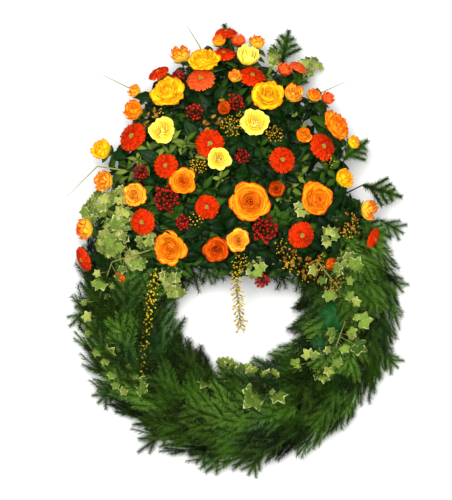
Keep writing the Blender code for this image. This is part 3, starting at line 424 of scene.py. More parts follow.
@dataclass(frozen=True)
class PetalFinish(Finish):
    """Fresh petals: velvet to the eye, deeper at the base, with fine streaks along them.

    Attributes:
        base: the colour where the petal starts.
        middle: the colour of its face.
        edge: the colour of its rim and tip.
        rim: how far in from the tip the rim's colour reaches, as a share.
        wide: how wide a petal is, over which its streaks are counted.
        streak: the distance between two streaks, drawn coarser than real veins, to show.
        vary: how much one petal's brightness differs from another's.
    """

    base: str = "#d84a10"
    middle: str = "#f2611c"
    edge: str = "#ff7b2e"
    rim: float = 0.35
    wide: float = 40 * MM
    streak: float = 1.6 * MM
    vary: float = 0.3

    def surface(self, add: Adder) -> Surface:
        """Fades from base to edge, streaks the petal along and sets petals apart."""
        across, along, place = self.spot(add)
        shade = add("ShaderNodeAttribute", attribute_name="shade").outputs["Fac"]
        foot = {"Value": along, "From Min": 0.05, "From Max": 0.55}
        foot = add("ShaderNodeMapRange", foot, interpolation_type="SMOOTHSTEP")
        body = {0: foot, 6: linear(self.base), 7: linear(self.middle)}
        body = add("ShaderNodeMix", body, data_type="RGBA")
        side = add("ShaderNodeMath", {0: across, 1: 2.0, 2: -1.0}, operation="MULTIPLY_ADD")
        side = add("ShaderNodeMath", {0: side}, operation="ABSOLUTE")
        side = add("ShaderNodeMath", {0: side, 1: 4.0}, operation="POWER")
        near = {0: side, 1: 0.5 * self.rim, 2: along}
        near = add("ShaderNodeMath", near, operation="MULTIPLY_ADD")
        rim = {"Value": near, "From Min": 1.0 - self.rim, "From Max": 1.04}
        rim = add("ShaderNodeMapRange", rim, interpolation_type="SMOOTHSTEP")
        toned = add("ShaderNodeMix", {0: rim, 6: body, 7: linear(self.edge)}, data_type="RGBA")
        stretch = {"Scale": (self.wide / self.streak, 2.0, 1.0), "Vector": place}
        stretched = add("ShaderNodeMapping", stretch)
        streaks = {"Scale": 1.0, "Detail": 1.0, "Vector": stretched}
        streaks = add("ShaderNodeTexNoise", streaks).outputs["Fac"]
        light = {0: shade, 1: self.vary, 2: 0.85 - self.vary / 2}
        light = add("ShaderNodeMath", light, operation="MULTIPLY_ADD")
        light = add("ShaderNodeMath", {0: streaks, 1: 0.3, 2: light}, operation="MULTIPLY_ADD")
        shaded = add("ShaderNodeHueSaturation", {"Color": toned, "Value": light})
        return shaded, streaks, 0.25 * MM


@dataclass(frozen=True)
class LeafFinish(Finish):
    """A broad leaf: a pale midrib and side veins, and a paler margin where it is variegated.

    Attributes:
        face: the colour of the blade.
        fresh: the colour of the younger leaves.
        vein: the colour of the veins.
        margin: the colour of the edge.
        cream: how far in the margin's colour reaches, as a share of the blade.
        veins: how many side veins stand on the length of a blade.
    """

    face: str = "#1c4a1a"
    fresh: str = "#3c7a2c"
    vein: str = "#7fa65a"
    margin: str = "#1c4a1a"
    cream: float = 0.0
    veins: float = 7.0

    def surface(self, add: Adder) -> Surface:
        """Draws the veins from the blade's own coordinates, and breaks the margin up."""
        across, along, _ = self.spot(add)
        shade = add("ShaderNodeAttribute", attribute_name="shade").outputs["Fac"]
        body = {0: shade, 6: linear(self.face), 7: linear(self.fresh)}
        body = add("ShaderNodeMix", body, data_type="RGBA")
        side = add("ShaderNodeMath", {0: across, 1: 2.0, 2: -1.0}, operation="MULTIPLY_ADD")
        side = add("ShaderNodeMath", {0: side}, operation="ABSOLUTE")
        inward = {0: self.grain(add, 9 * MM), 1: 0.9, 2: side}
        inward = add("ShaderNodeMath", inward, operation="MULTIPLY_ADD")
        pale = {"Value": inward, "From Min": 1.45 - self.cream, "From Max": 1.53 - self.cream}
        pale = add("ShaderNodeMapRange", pale)
        body = add("ShaderNodeMix", {0: pale, 6: body, 7: linear(self.margin)}, data_type="RGBA")
        slant = add("ShaderNodeMath", {0: side, 1: -0.35, 2: along}, operation="MULTIPLY_ADD")
        wave = {0: slant, 1: math.tau * self.veins}
        wave = add("ShaderNodeMath", wave, operation="MULTIPLY")
        wave = add("ShaderNodeMath", {0: wave}, operation="SINE")
        ribs = add("ShaderNodeMapRange", {"Value": wave, "From Min": 0.86, "From Max": 1.0})
        ribs = add("ShaderNodeMath", {0: ribs, 1: 0.45}, operation="MULTIPLY")
        middle = add("ShaderNodeMapRange", {"Value": side, "From Min": 0.14, "From Max": 0.03})
        drawn = add("ShaderNodeMath", {0: ribs, 1: middle}, operation="MAXIMUM")
        faint = add("ShaderNodeMath", {0: drawn, 1: 0.65}, operation="MULTIPLY")
        veined = add("ShaderNodeMix", {0: faint, 6: body, 7: linear(self.vein)}, data_type="RGBA")
        return veined, drawn, 0.4 * MM


@dataclass(frozen=True)
class BeadFinish(Finish):
    """Berries and seeds: a thin glossy skin, with a dry spot at the end of each.

    Attributes:
        ripe: the colour of most of them.
        young: the colour of the lightest.
        end: the colour of the spot where the flower was.
    """

    ripe: str = "#8c0f12"
    young: str = "#c22a1c"
    end: str = "#2a0d08"

    def surface(self, add: Adder) -> Surface:
        """Sets each bead's own red or yellow, and darkens its end."""
        along = add("ShaderNodeAttribute", attribute_name="along").outputs["Fac"]
        shade = add("ShaderNodeAttribute", attribute_name="shade").outputs["Fac"]
        body = {0: shade, 6: linear(self.ripe), 7: linear(self.young)}
        body = add("ShaderNodeMix", body, data_type="RGBA")
        dry = add("ShaderNodeMapRange", {"Value": along, "From Min": 0.90, "From Max": 0.98})
        ended = add("ShaderNodeMix", {0: dry, 6: body, 7: linear(self.end)}, data_type="RGBA")
        return ended, None, 0.0


@dataclass(frozen=True)
class StalkFinish(Finish):
    """Stems and twigs: two tones of green or bark in short blotches, which are its relief too.

    Attributes:
        first: one tone.
        second: the other.
        size: the length of a blotch.
    """

    first: str = "#3d6b25"
    second: str = "#5f8c3a"
    size: float = 12 * MM

    def surface(self, add: Adder) -> Surface:
        """Mixes the two tones by a soft noise."""
        noise = self.grain(add, self.size, 3.0)
        tones = {0: noise, 6: linear(self.first), 7: linear(self.second)}
        return add("ShaderNodeMix", tones, data_type="RGBA"), noise, 0.3 * MM


@dataclass(frozen=True)
class StrawFinish(Finish):
    """Bound wheat straw: pale stalks along the ring under turns of green binding film.

    Attributes:
        straw: the colour of the stalks.
        gap: the colour between them, painted shade where the stalks' relief is low.
        film: the colour of the binding.
        stalk: how wide a stalk is.
        run: how long it shows before it dips under the others.
        turns: how many turns of film lie round the ring.
    """

    straw: str = "#b59a5c"
    gap: str = "#5a4522"
    film: str = "#1f4a26"
    stalk: float = 4.2 * MM
    run: float = 39 * MM
    turns: int = 44

    def surface(self, add: Adder) -> Surface:
        """Draws stalks along the ring with painted shade between them, and film across it, slanted
        as it was wound.
        """
        across, along, place = self.spot(add)
        scale = math.tau * STRAW_RADIUS / self.stalk, math.tau * RING_RADIUS / self.run, 1.0
        stretched = add("ShaderNodeMapping", {"Scale": scale, "Vector": place})
        stalks = {"Scale": 1.0, "Detail": 2.0, "Vector": stretched}
        stalks = add("ShaderNodeTexNoise", stalks).outputs["Fac"]
        wound = {0: along, 1: self.turns, 2: across}
        wound = add("ShaderNodeMath", wound, operation="MULTIPLY_ADD")
        part = add("ShaderNodeMath", {0: wound}, operation="FRACT")
        film = add("ShaderNodeMath", {0: part, 1: 0.62}, operation="LESS_THAN")
        # The dark gap colour fills the low parts of the stalks' relief: painted shade between the
        # stalks.
        body = {0: stalks, 6: linear(self.gap), 7: linear(self.straw)}
        body = add("ShaderNodeMix", body, data_type="RGBA")
        relief = add("ShaderNodeMath", {0: film, 1: 0.6, 2: stalks}, operation="MULTIPLY_ADD")
        bound = add("ShaderNodeMix", {0: film, 6: body, 7: linear(self.film)}, data_type="RGBA")
        return bound, relief, 1.5 * MM


@dataclass(frozen=True)
class FoamFinish(Finish):
    """Soaked floral foam: matt green phenolic foam with fine open cells.

    Attributes:
        wet: the colour of the soaked parts.
        dry: the colour of the dry edges.
        cell: the size of a cell, drawn coarse enough to show.
    """

    wet: str = "#1f4d2c"
    dry: str = "#35693f"
    cell: float = 1.2 * MM

    def surface(self, add: Adder) -> Surface:
        """Mixes wet and dry areas, with the cells as relief."""
        areas = {0: self.grain(add, 30 * MM), 6: linear(self.wet), 7: linear(self.dry)}
        cells = self.grain(add, self.cell, 1.0)
        return add("ShaderNodeMix", areas, data_type="RGBA"), cells, 0.5 * MM


NEEDLES = NeedleFinish("fir_needles", 0.6, 0.03)
BARK = StalkFinish("fir_bark", 0.8, 0.05, first="#1c1c08", second="#343c10")
# A near-black sheet under the fir: painted shade between the fronds.
SHADE_UNDER_FIR = StalkFinish("painted_shade_under_fir", 0.9, 0.0, first="#030a01", second="#0c1c05", size=9 * MM)
STEM = StalkFinish("green_stem", 0.6, first="#122a0a", second="#2a4a16")
VINE = StalkFinish("ivy_vine", 0.6, first="#6a7030", second="#a09a5c")
SEPAL = StalkFinish("green_sepal", 0.6, first="#2a4a0c", second="#527420", size=5 * MM)
DISC = BeadFinish("gerbera_disc", 0.7, ripe="#8a5c10", young="#c8b048", end="#5a3a0c")
BERRY = BeadFinish("berry_skin", 0.35, 0.16, 0.06, ripe="#500202", young="#b81804")
SEED = BeadFinish("seed_beads", ripe="#b08a06", young="#ecd430", end="#7a6408")
GOLD_SEED = BeadFinish("gold_seeds", ripe="#a06808", young="#e6bc30", end="#5a3a08")
IVY_LEAF = LeafFinish(
    "variegated_leaf", 0.55, 0.12, 0.0, "#2c4a0a", "#7c9634", "#a4b260", "#b8c078", cream=0.1
)
PALE_LEAF = LeafFinish(
    "pale_ivy_leaf", 0.6, 0.12, 0.0, "#465a10", "#a4ae4c", "#b8c074", "#ccce90", cream=0.12
)
DEEP_LEAF = LeafFinish("deep_ivy_leaf", face="#062c0a", fresh="#0f4c18", vein="#2c6428")
DARK_LEAF = LeafFinish("glossy_leaf", 0.4, 0.08, 0.0, "#030f02", "#12300a", "#1e4212", "#061604")
MID_LEAF = LeafFinish("soft_leaf", 0.6, 0.06, 0.0, "#0c2206", "#385a16", "#4a6c26", "#0f2808")
FRESH_LEAF = LeafFinish("young_leaf", 0.6, 0.06, 0.0, "#2c4a0a", "#84963a", "#8fa04c", "#4a6414")
BRACT = LeafFinish(
    "bronze_bract", 0.6, 0.12, 0.0, "#4a2a06", "#b88a28", "#c49a40", "#8a4a0c", cream=0.2
)
GRASS_LEAF = LeafFinish(
    "blade_of_grass", face="#768436", fresh="#a8b05a", vein="#b0b472", veins=0.0
)
# Each bloom's petals: base, middle and edge, how far in the edge's colour reaches, and how
# much one petal's brightness differs from another's
PETALS = {
    hue: PetalFinish(f"{hue.value}_petal", 0.6, 0.04, 0.0, *colours, rim=rim, vary=vary)
    for hue, colours, rim, vary in (
        (Hue.SCARLET, ("#700a00", "#bc1a00", "#e43a06"), 0.35, 0.75),
        (Hue.SALMON, ("#b03406", "#dc3c0a", "#f0662c"), 0.35, 0.5),
        (Hue.LEMON, ("#f4a40c", "#fde034", "#feee74"), 0.3, 0.3),
        (Hue.GOLD, ("#ec8402", "#fdd61e", "#f27c08"), 0.18, 0.3),
        (Hue.ORANGE, ("#e45c02", "#fda81c", "#de4604"), 0.2, 0.3),
        (Hue.RUST, ("#a83202", "#ee7410", "#a82602"), 0.3, 0.3),
        (Hue.BLUSH, ("#f8cc30", "#fcc034", "#dc300a"), 0.17, 0.3),
    )
}


def seen_at(across: float, down: float, height: float) -> Vector:
    """Finds the point at a height that the photograph shows at a pixel.

    Args:
        across: pixels from the left.
        down: pixels from the top.
        height: metres over the ground.
    Returns:
        The point.
    """
    nearer = (VIEW_HEIGHT - height) / (VIEW_HEIGHT - PIXEL_HEIGHT)
    x = PHOTO_MIDDLE[0] - OUTLINE_MIDDLE[0] + (across - PHOTO_MIDDLE[0]) * nearer
    y = OUTLINE_MIDDLE[1] - PHOTO_MIDDLE[1] + (PHOTO_MIDDLE[1] - down) * nearer
    return Vector((x * PIXEL, y * PIXEL, height))


def mound_share(across: float, down: float) -> float:
    """Tells how far from the mound's pole a pixel is, with 1 at the rim."""
    reach = MOUND_UP if down < POLE[1] else MOUND_DOWN
    return math.hypot((across - POLE[0]) / MOUND_ACROSS, (POLE[1] - down) / reach)


def mound_at(across: float, down: float) -> tuple[Vector, Vector]:
    """Finds where a head sits on the mound and the way that it faces.

    Args:
        across: pixels from the left.
        down: pixels from the top.
    Returns:
        The place and the direction.
    """
    share = mound_share(across, down)
    height = MOUND_RIM + (MOUND_TOP - MOUND_RIM) * (1 - min(share, 1.04) ** 3)
    tilt = math.radians(min(RIM_TILT, RIM_TILT * share**TILT_POWER))
    heading = math.atan2(POLE[1] - down, across - POLE[0])
    flat = math.sin(tilt)
    facing = Vector((flat * math.cos(heading), flat * math.sin(heading), math.cos(tilt)))
    return seen_at(across, down, height), facing


def width_at(place: Vector, width: float) -> float:
    """Turns a width in pixels into metres at the height of a place."""
    return width * PIXEL * (VIEW_HEIGHT - place.z) / (VIEW_HEIGHT - PIXEL_HEIGHT)


def head_at(across: float, down: float, width: float) -> tuple[Vector, Vector, float]:
    """Finds a head's place on the mound, the way that it faces and its radius.

    Args:
        across: pixels from the left.
        down: pixels from the top.
        width: its width in pixels.
    Returns:
        The place, the direction and the radius.
    """
    place, facing = mound_at(across, down)
    return place, facing, 0.5 * width_at(place, width)


def spiral(count: int) -> Iterator[tuple[int, float, float]]:
    """Spreads points evenly over a disc: the number, share of the radius and angle of each."""
    for k in range(count):
        yield k, math.sqrt((k + 0.5) / count), k * GOLDEN


def ring_middle() -> Vector:
    """Gives the middle of the straw ring."""
    return seen_at(*RING_MIDDLE, PIXEL_HEIGHT)


def ring_spot(turn: float, roll: float, lift: float) -> Vector:
    """Finds a point over the ring.

    Args:
        turn: degrees round the ring.
        roll: degrees round its section, 0 outwards and 90 up.
        lift: metres over the fir mat.
    Returns:
        The point.
    """
    reach = STRAW_RADIUS + MAT_THICKNESS + lift
    out = RING_RADIUS + reach * math.cos(math.radians(roll))
    angle = math.radians(turn)
    height = STRAW_HEIGHT + reach * math.sin(math.radians(roll))
    middle = ring_middle()
    return Vector((middle.x + out * math.cos(angle), middle.y + out * math.sin(angle), height))


def within(across: float, down: float, outline: list[tuple[float, float]]) -> bool:
    """Tells whether a place in the photo lies inside an outline."""
    inside = False
    for (x0, y0), (x1, y1) in zip(outline, outline[1:] + outline[:1]):
        if (y0 > down) != (y1 > down):
            if across < x0 + (x1 - x0) * (down - y0) / (y1 - y0):
                inside = not inside
    return inside


def ring_across(turn: float) -> Vector:
    """Gives the direction away from the ring's middle at a turn in degrees."""
    return Vector((math.cos(math.radians(turn)), math.sin(math.radians(turn)), 0))


def over_all(across: float, down: float, lift: float) -> Vector:
    """Finds a point over the mound where that is the higher, otherwise over the fir.

    Args:
        across: pixels from the left.
        down: pixels from the top.
        lift: metres over the fir mat.
    Returns:
        The point.
    """
    spot = seen_at(across, down, STRAW_HEIGHT + STRAW_RADIUS)
    middle = ring_middle()
    off = math.hypot(spot.x - middle.x, spot.y - middle.y) - RING_RADIUS
    outer = STRAW_RADIUS + MAT_THICKNESS + lift
    spot.z = STRAW_HEIGHT + math.sqrt(max(0.0, outer**2 - off**2))
    if mound_share(across, down) > 1:
        return spot
    place, _ = mound_at(across, down)
    return place if place.z > spot.z else spot


def foam_foot(place: Vector) -> Vector:
    """Finds where a stem ends inside the foam, drawn in from the head's place."""
    middle = seen_at(*FOAM_PIXEL, FOAM_TOP)
    x = STEM_SPREAD[0] * (place.x - middle.x)
    y = STEM_SPREAD[1] * (place.y - middle.y)
    x = max(-FOOT_REACH[0], min(FOOT_REACH[0], x))
    y = max(-FOOT_REACH[1], min(FOOT_REACH[1], y))
    return Vector((middle.x + x, middle.y + y, STEM_FOOT))


def turned_to(place: Vector, facing: Vector) -> Matrix:
    """Makes a frame at a place whose Z looks along a direction."""
    return Matrix.Translation(place) @ facing.to_track_quat("Z", "Y").to_matrix().to_4x4()


def along_route(route: list[Vector], share: float) -> tuple[Vector, Vector]:
    """Finds the point and the direction at a share of a route, with its legs taken as equal.

    Args:
        route: its points.
        share: 0 at its start and 1 at its end.
    Returns:
        The point and the direction.
    """
    place = share * (len(route) - 1)
    leg = min(int(place), len(route) - 2)
    ahead = (route[leg + 1] - route[leg]).normalized()
    return route[leg].lerp(route[leg + 1], place - leg), ahead


class Solid:
    """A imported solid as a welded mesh, to find where its heads and leaves stand."""

    def __init__(self, name: str) -> None:
        """Reads the node's mesh and joins its loose triangles.

        Args:
            name: the node's name.
        """
        self.shape = bmesh.new()
        self.shape.from_mesh(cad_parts[name].data)
        bmesh.ops.remove_doubles(self.shape, verts=self.shape.verts, dist=0.00002)
        self.points = [v.co.copy() for v in self.shape.verts]

    def head(self, place: Vector, facing: Vector, radius: float, top: float) -> Vector:
        """Finds where a head stands, from the ring of its highest points.

        Args:
            place: where it is meant to be.
            facing: where it looks.
            radius: the head's radius.
            top: the height of its highest points over its own origin.
        Returns:
            The head's origin.
        """
        level, highest = -1.0, place
        for point in self.points:
            off = point - place
            along = off.dot(facing)
            if (off - facing * along).length < radius + HEAD_SEARCH and along > level:
                level, highest = along, point
        near = [
            p
            for p in self.points
            if (p - highest).length < 1.5 * radius
            and (p - place).dot(facing) > level - 0.4 * radius
        ]
        middle = sum(near, Vector()) / len(near)
        off = middle - place
        sideways = off - facing * off.dot(facing)
        return place + sideways + facing * (level - top)

    def nearest(self, place: Vector) -> Vector:
        """Finds the solid's point nearest to a place."""
        return min(self.points, key=lambda p: (p - place).length_squared)

    def hub(self, place: Vector, spokes: int, reach: float) -> Vector:
        """Finds the raised middle of a leaf, where many edges of the solid meet.

        Args:
            place: where the leaf is meant to be.
            spokes: the fewest edges that meet at it.
            reach: how far from the place it is looked for.
        Returns:
            The point, or the place where there is none.
        """
        hubs = [
            v.co
            for v in self.shape.verts
            if len(v.link_edges) >= spokes and (v.co - place).length < reach
        ]
        if not hubs:
            return place.copy()
        return min(hubs, key=lambda p: (p - place).length_squared).copy()

    def stems(self, heads: list[tuple[Vector, Vector, float, float]]) -> None:
        """Cuts the heads off, leaves the stems and closes their ends.

        Args:
            heads: each head's origin, facing, radius and height.
        """
        gone = []
        for vert in self.shape.verts:
            for place, facing, radius, top in heads:
                off = vert.co - place
                along = off.dot(facing)
                aside = (off - facing * along).length
                root = aside < 2 * STEM_RADIUS and along < 0.1 * radius
                if aside < 1.1 * radius and -radius < along < top + 1 * MM and not root:
                    gone.append(vert)
                    break
        bmesh.ops.delete(self.shape, geom=gone, context="VERTS")
        bmesh.ops.holes_fill(self.shape, edges=self.shape.edges, sides=0)
        bmesh.ops.triangulate(self.shape, faces=self.shape.faces)


@cache
def sheet_faces(rows: int, cols: int) -> tuple[tuple[int, ...], ...]:
    """Lists the faces of a closed sheet: its upper side, its lower side and its rim.

    Args:
        rows: points along it.
        cols: points across it.
    Returns:
        The faces, as numbers of the points of both sides.
    """
    count = rows * cols
    faces = []
    for i in range(rows - 1):
        for j in range(cols - 1):
            a = i * cols + j
            quad = (a, a + 1, a + cols + 1, a + cols)
            faces.append(quad)
            faces.append(tuple(count + k for k in reversed(quad)))
    edge = list(range(cols))
    edge += [i * cols + cols - 1 for i in range(1, rows)]
    edge += [(rows - 1) * cols + j for j in range(cols - 2, -1, -1)]
    edge += [i * cols for i in range(rows - 2, 0, -1)]
    for a, b in zip(edge, edge[1:] + edge[:1]):
        faces.append((b, a, count + a, count + b))
    return tuple(faces)


class Piece:
    """Collects the closed parts of one piece and makes a mesh of them."""

    def __init__(self, name: str) -> None:
        """Starts an empty piece.

        Args:
            name: the piece's name.
        """
        self.name = name
        self.points: list[np.ndarray] = []
        self.faces: list[tuple[int, ...]] = []
        self.finish_of: list[int] = []
        self.spots: list[np.ndarray] = []
        self.shades: list[np.ndarray] = []
        self.finishes: list[Finish] = []
        self.count = 0

    def add(
        self,
        points: np.ndarray,
        faces: Any,
        finish: Finish,
        spots: np.ndarray | None = None,
        shade: float = 0.5,
    ) -> None:
        """Adds one closed part.

        Args:
            points: its points, one a row.
            faces: its faces, as numbers of those points.
            finish: its material.
            spots: where each point is on the blade, across and along.
            shade: how light it is among its kind, from 0 to 1.
        """
        if finish not in self.finishes:
            self.finishes.append(finish)
        slot = self.finishes.index(finish)
        base = self.count
        self.faces.extend(tuple(base + k for k in face) for face in faces)
        self.finish_of.extend([slot] * len(faces))
        self.points.append(points)
        self.spots.append(np.zeros((len(points), 2)) if spots is None else spots)
        self.shades.append(np.full(len(points), shade))
        self.count += len(points)

    def add_sheet(
        self,
        grid: np.ndarray,
        thickness: float,
        finish: Finish,
        shade: float = 0.5,
        turn: Matrix | None = None,
    ) -> None:
        """Adds a thin closed blade or petal over a grid of points.

        Args:
            grid: points by row along it and column across it.
            thickness: how thick it is.
            finish: its material.
            shade: how light it is among its kind.
            turn: the frame that the grid is given in.
        """
        rows, cols = grid.shape[:2]
        along = np.gradient(grid, axis=0)
        across = np.gradient(grid, axis=1)
        normal = np.cross(across, along)
        size = np.linalg.norm(normal, axis=2, keepdims=True)
        normal = normal / np.maximum(size, 1e-12)
        upper = grid + normal * 0.5 * thickness
        lower = grid - normal * 0.5 * thickness
        points = np.concatenate([upper.reshape(-1, 3), lower.reshape(-1, 3)])
        if turn is not None:
            spin = np.array(turn)
            points = points @ spin[:3, :3].T + spin[:3, 3]
        u, v = np.meshgrid(np.linspace(0, 1, cols), np.linspace(0, 1, rows))
        spots = np.stack([u.ravel(), v.ravel()], axis=1)
        spots = np.concatenate([spots, spots])
        self.add(points, sheet_faces(rows, cols), finish, spots, shade)

    def add_tube(
        self, route: list[Vector], radii: list[float], finish: Finish, sides: int = 5
    ) -> None:
        """Adds a closed round stem along a route.

        Args:
            route: its middle line.
            radii: its radius at each point of the route.
            finish: its material.
            sides: how many sides it has.
        """
        points, faces = [], []
        normal = Vector((0.3, 0.5, 0.81))
        for k, place in enumerate(route):
            ahead = route[min(k + 1, len(route) - 1)] - route[max(k - 1, 0)]
            ahead.normalize()
            side = (normal - ahead * normal.dot(ahead)).normalized()
            other = ahead.cross(side)
            for i in range(sides):
                angle = math.tau * i / sides
                off = side * math.cos(angle) + other * math.sin(angle)
                points.append(place + off * radii[k])
        for k in range(len(route) - 1):
            for i in range(sides):
                j = (i + 1) % sides
                a, b = k * sides, (k + 1) * sides
                faces.append((a + i, a + j, b + j, b + i))
        faces.append(tuple(reversed(range(sides))))
        faces.append(tuple(range((len(route) - 1) * sides, len(route) * sides)))
        self.add(np.array([tuple(p) for p in points]), faces, finish)

    def add_solid(self, solid: Solid, finish: Finish) -> None:
        """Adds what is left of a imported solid, such as its stems."""
        solid.shape.verts.index_update()
        points = np.array([tuple(v.co) for v in solid.shape.verts])
        faces = [tuple(v.index for v in face.verts) for face in solid.shape.faces]
        if faces:
            self.add(points, faces, finish)

    def finished(self, slot: str, *replaced: str) -> bpy.types.Object:
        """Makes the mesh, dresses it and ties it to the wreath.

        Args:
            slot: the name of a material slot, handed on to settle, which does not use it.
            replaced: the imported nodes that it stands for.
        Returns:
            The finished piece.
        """
        mesh = bpy.data.meshes.new(self.name)
        points = np.concatenate(self.points)
        mesh.from_pydata(points.tolist(), [], self.faces)
        for finish in self.finishes:
            mesh.materials.append(finish.make())
        mesh.polygons.foreach_set("material_index", self.finish_of)
        mesh.polygons.foreach_set("use_smooth", [True] * len(mesh.polygons))
        corners = np.empty(len(mesh.loops), dtype=np.int32)
        mesh.loops.foreach_get("vertex_index", corners)
        blade = mesh.uv_layers.new(name="blade")
        blade.data.foreach_set("uv", np.concatenate(self.spots)[corners].ravel())
        shade = mesh.attributes.new("shade", "FLOAT", "POINT")
        shade.data.foreach_set("value", np.concatenate(self.shades))
        mesh.update()
        obj = bpy.data.objects.new(self.name, mesh)
        bpy.context.scene.collection.objects.link(obj)
        return settle(obj, slot, *replaced)


def settle(obj: bpy.types.Object, slot: str, *replaced: str) -> bpy.types.Object:
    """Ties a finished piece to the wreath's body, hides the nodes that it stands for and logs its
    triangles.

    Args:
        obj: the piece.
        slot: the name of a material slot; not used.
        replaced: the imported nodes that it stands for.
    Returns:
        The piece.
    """
    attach(obj, "root")
    if replaced:
        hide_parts(*replaced)
    triangles = sum(len(p.vertices) - 2 for p in obj.data.polygons)
    LOG.info("%s: %d triangles", obj.name, triangles)
    return obj


class Strands:
    """Twigs and stalks as lines, with the places of beads, that a node tree grows over."""

    def __init__(self) -> None:
        """Starts with no lines."""
        self.points: list[tuple[float, ...]] = []
        self.edges: list[tuple[int, int]] = []
        self.ups: list[tuple[float, ...]] = []
        self.sizes: list[float] = []
        self.tones: list[float] = []
        self.beads: list[float] = []

    def note(self, place: Vector, up: Vector, size: float, tone: float, bead: float) -> None:
        """Adds one point.

        Args:
            place: where it is.
            up: the side that a needle shows its face to, or the way that a bead looks.
            size: how large what grows on it is.
            tone: how light what grows on it is.
            bead: 1 where a bead sits on it, otherwise 0.
        """
        self.points.append(tuple(place))
        self.ups.append(tuple(up))
        self.sizes.append(size)
        self.tones.append(tone)
        self.beads.append(bead)

    def add_line(
        self, route: list[Vector], up: Vector, size: float = 1.0, tone: float = 0.5
    ) -> None:
        """Adds a twig.

        Args:
            route: its points.
            up: the side that its needles show their face to.
            size: how large what grows on it is.
            tone: how light what grows on it is.
        """
        base = len(self.points)
        for place in route:
            self.note(place, up, size, tone, 0.0)
        self.edges.extend((base + k, base + k + 1) for k in range(len(route) - 1))

    def add_bead(self, place: Vector, out: Vector, size: float = 1.0) -> None:
        """Adds a bead that looks outwards along a direction."""
        self.note(place, out, size, 0.5, 1.0)

    def guide(self, name: str) -> bpy.types.Object:
        """Makes the object that carries the lines into a node tree."""
        mesh = bpy.data.meshes.new(name)
        mesh.from_pydata(self.points, self.edges, [])
        up = mesh.attributes.new("up", "FLOAT_VECTOR", "POINT")
        up.data.foreach_set("vector", [c for row in self.ups for c in row])
        numbers = {"size": self.sizes, "tone": self.tones, "bead": self.beads}
        for label, values in numbers.items():
            layer = mesh.attributes.new(label, "FLOAT", "POINT")
            layer.data.foreach_set("value", values)
        obj = bpy.data.objects.new(name, mesh)
        bpy.context.scene.collection.objects.link(obj)
        return obj


class Growth:
    """A node tree with named inputs, which grows something over strands."""

    name = "growth"
    sizes: dict[str, tuple[str, Any]] = {}

    def __init__(self) -> None:
        """Builds the tree: its inputs first, then its nodes."""
        self.tree = bpy.data.node_groups.new(self.name, "GeometryNodeTree")
        face = self.tree.interface
        face.new_socket("Strands", in_out="INPUT", socket_type="NodeSocketGeometry")
        face.new_socket("Grown", in_out="OUTPUT", socket_type="NodeSocketGeometry")
        for label, (kind, value) in self.sizes.items():
            socket = face.new_socket(label, in_out="INPUT", socket_type=kind)
            if value is not None:
                socket.default_value = value
        self.add = partial(add_node, self.tree)
        self.given = self.add("NodeGroupInput").outputs
        self.add("NodeGroupOutput", {0: self.grow()})

    def grow(self) -> bpy.types.Node:
        """Builds the nodes and gives the last one."""
        raise NotImplementedError

    def marked(self, shape: bpy.types.Node, length: bpy.types.NodeSocket) -> bpy.types.Node:
        """Stores on a shape how far up its own length each point is.

        Args:
            shape: the node that makes it.
            length: its length.
        Returns:
            The last node.
        """
        place = self.add("GeometryNodeInputPosition")
        height = self.add("ShaderNodeSeparateXYZ", {0: place}).outputs[2]
        along = self.add("ShaderNodeMath", {0: height, 1: length}, operation="DIVIDE")
        stored = {"Name": "along", "Geometry": shape, "Value": along}
        kind = "GeometryNodeStoreNamedAttribute"
        return self.add(kind, stored, data_type="FLOAT", domain="POINT")

    def placed(
        self, inputs: dict[str, Any], tone: bpy.types.Node, finish: str, spacing: float, sides: int
    ) -> bpy.types.Node:
        """Sets a shape on many places, each with its own tone, and adds the stalks.

        Args:
            inputs: the places, the shape, how it is turned and how large it is.
            tone: how light each one is.
            finish: the input that names its material.
            spacing: the distance between the rings of a stalk.
            sides: how many sides a stalk has.
        Returns:
            The last node.
        """
        set_on = self.add("GeometryNodeInstanceOnPoints", inputs)
        stored = {"Name": "shade", "Geometry": set_on, "Value": tone}
        kind = "GeometryNodeStoreNamedAttribute"
        shaded = self.add(kind, stored, data_type="FLOAT", domain="INSTANCE")
        real = self.add("GeometryNodeRealizeInstances", {0: shaded})
        skin = {"Geometry": real, "Material": self.given[finish]}
        both = self.add("GeometryNodeJoinGeometry", {0: self.add("GeometryNodeSetMaterial", skin)})
        lines = self.add("GeometryNodeMeshToCurve", {"Mesh": self.given["Strands"]})
        rings = {"Curve": lines, "Length": spacing}
        coarse = self.add("GeometryNodeResampleCurve", rings, mode="LENGTH")
        round_it = {"Resolution": sides, "Radius": self.given["Stalk radius"]}
        profile = self.add("GeometryNodeCurvePrimitiveCircle", round_it)
        swept = {"Fill Caps": True, "Curve": coarse, "Profile Curve": profile}
        tube = self.add("GeometryNodeCurveToMesh", swept)
        skin = {"Geometry": tube, "Material": self.given["Stalk"]}
        return feed(both, {0: self.add("GeometryNodeSetMaterial", skin)})

    def grown(self, name: str, strands: Strands, **values: Any) -> bpy.types.Object:
        """Runs the tree over strands and keeps the result as a plain mesh.

        Args:
            name: the piece's name.
            strands: the lines and beads.
            values: the tree's inputs, with low lines for spaces.
        Returns:
            The piece, not yet tied to the wreath.
        """
        obj = strands.guide(name)
        modifier = obj.modifiers.new("grown", "NODES")
        modifier.node_group = self.tree
        sockets = {
            item.name: item.identifier
            for item in self.tree.interface.items_tree
            if item.in_out == "INPUT"
        }
        for label, value in values.items():
            made = value.make() if isinstance(value, Finish) else value
            modifier[sockets[label.replace("_", " ").capitalize()]] = made
        graph = bpy.context.evaluated_depsgraph_get()
        mesh = bpy.data.meshes.new_from_object(obj.evaluated_get(graph))
        obj.modifiers.clear()
        obj.data = mesh
        mesh.name = name
        return obj


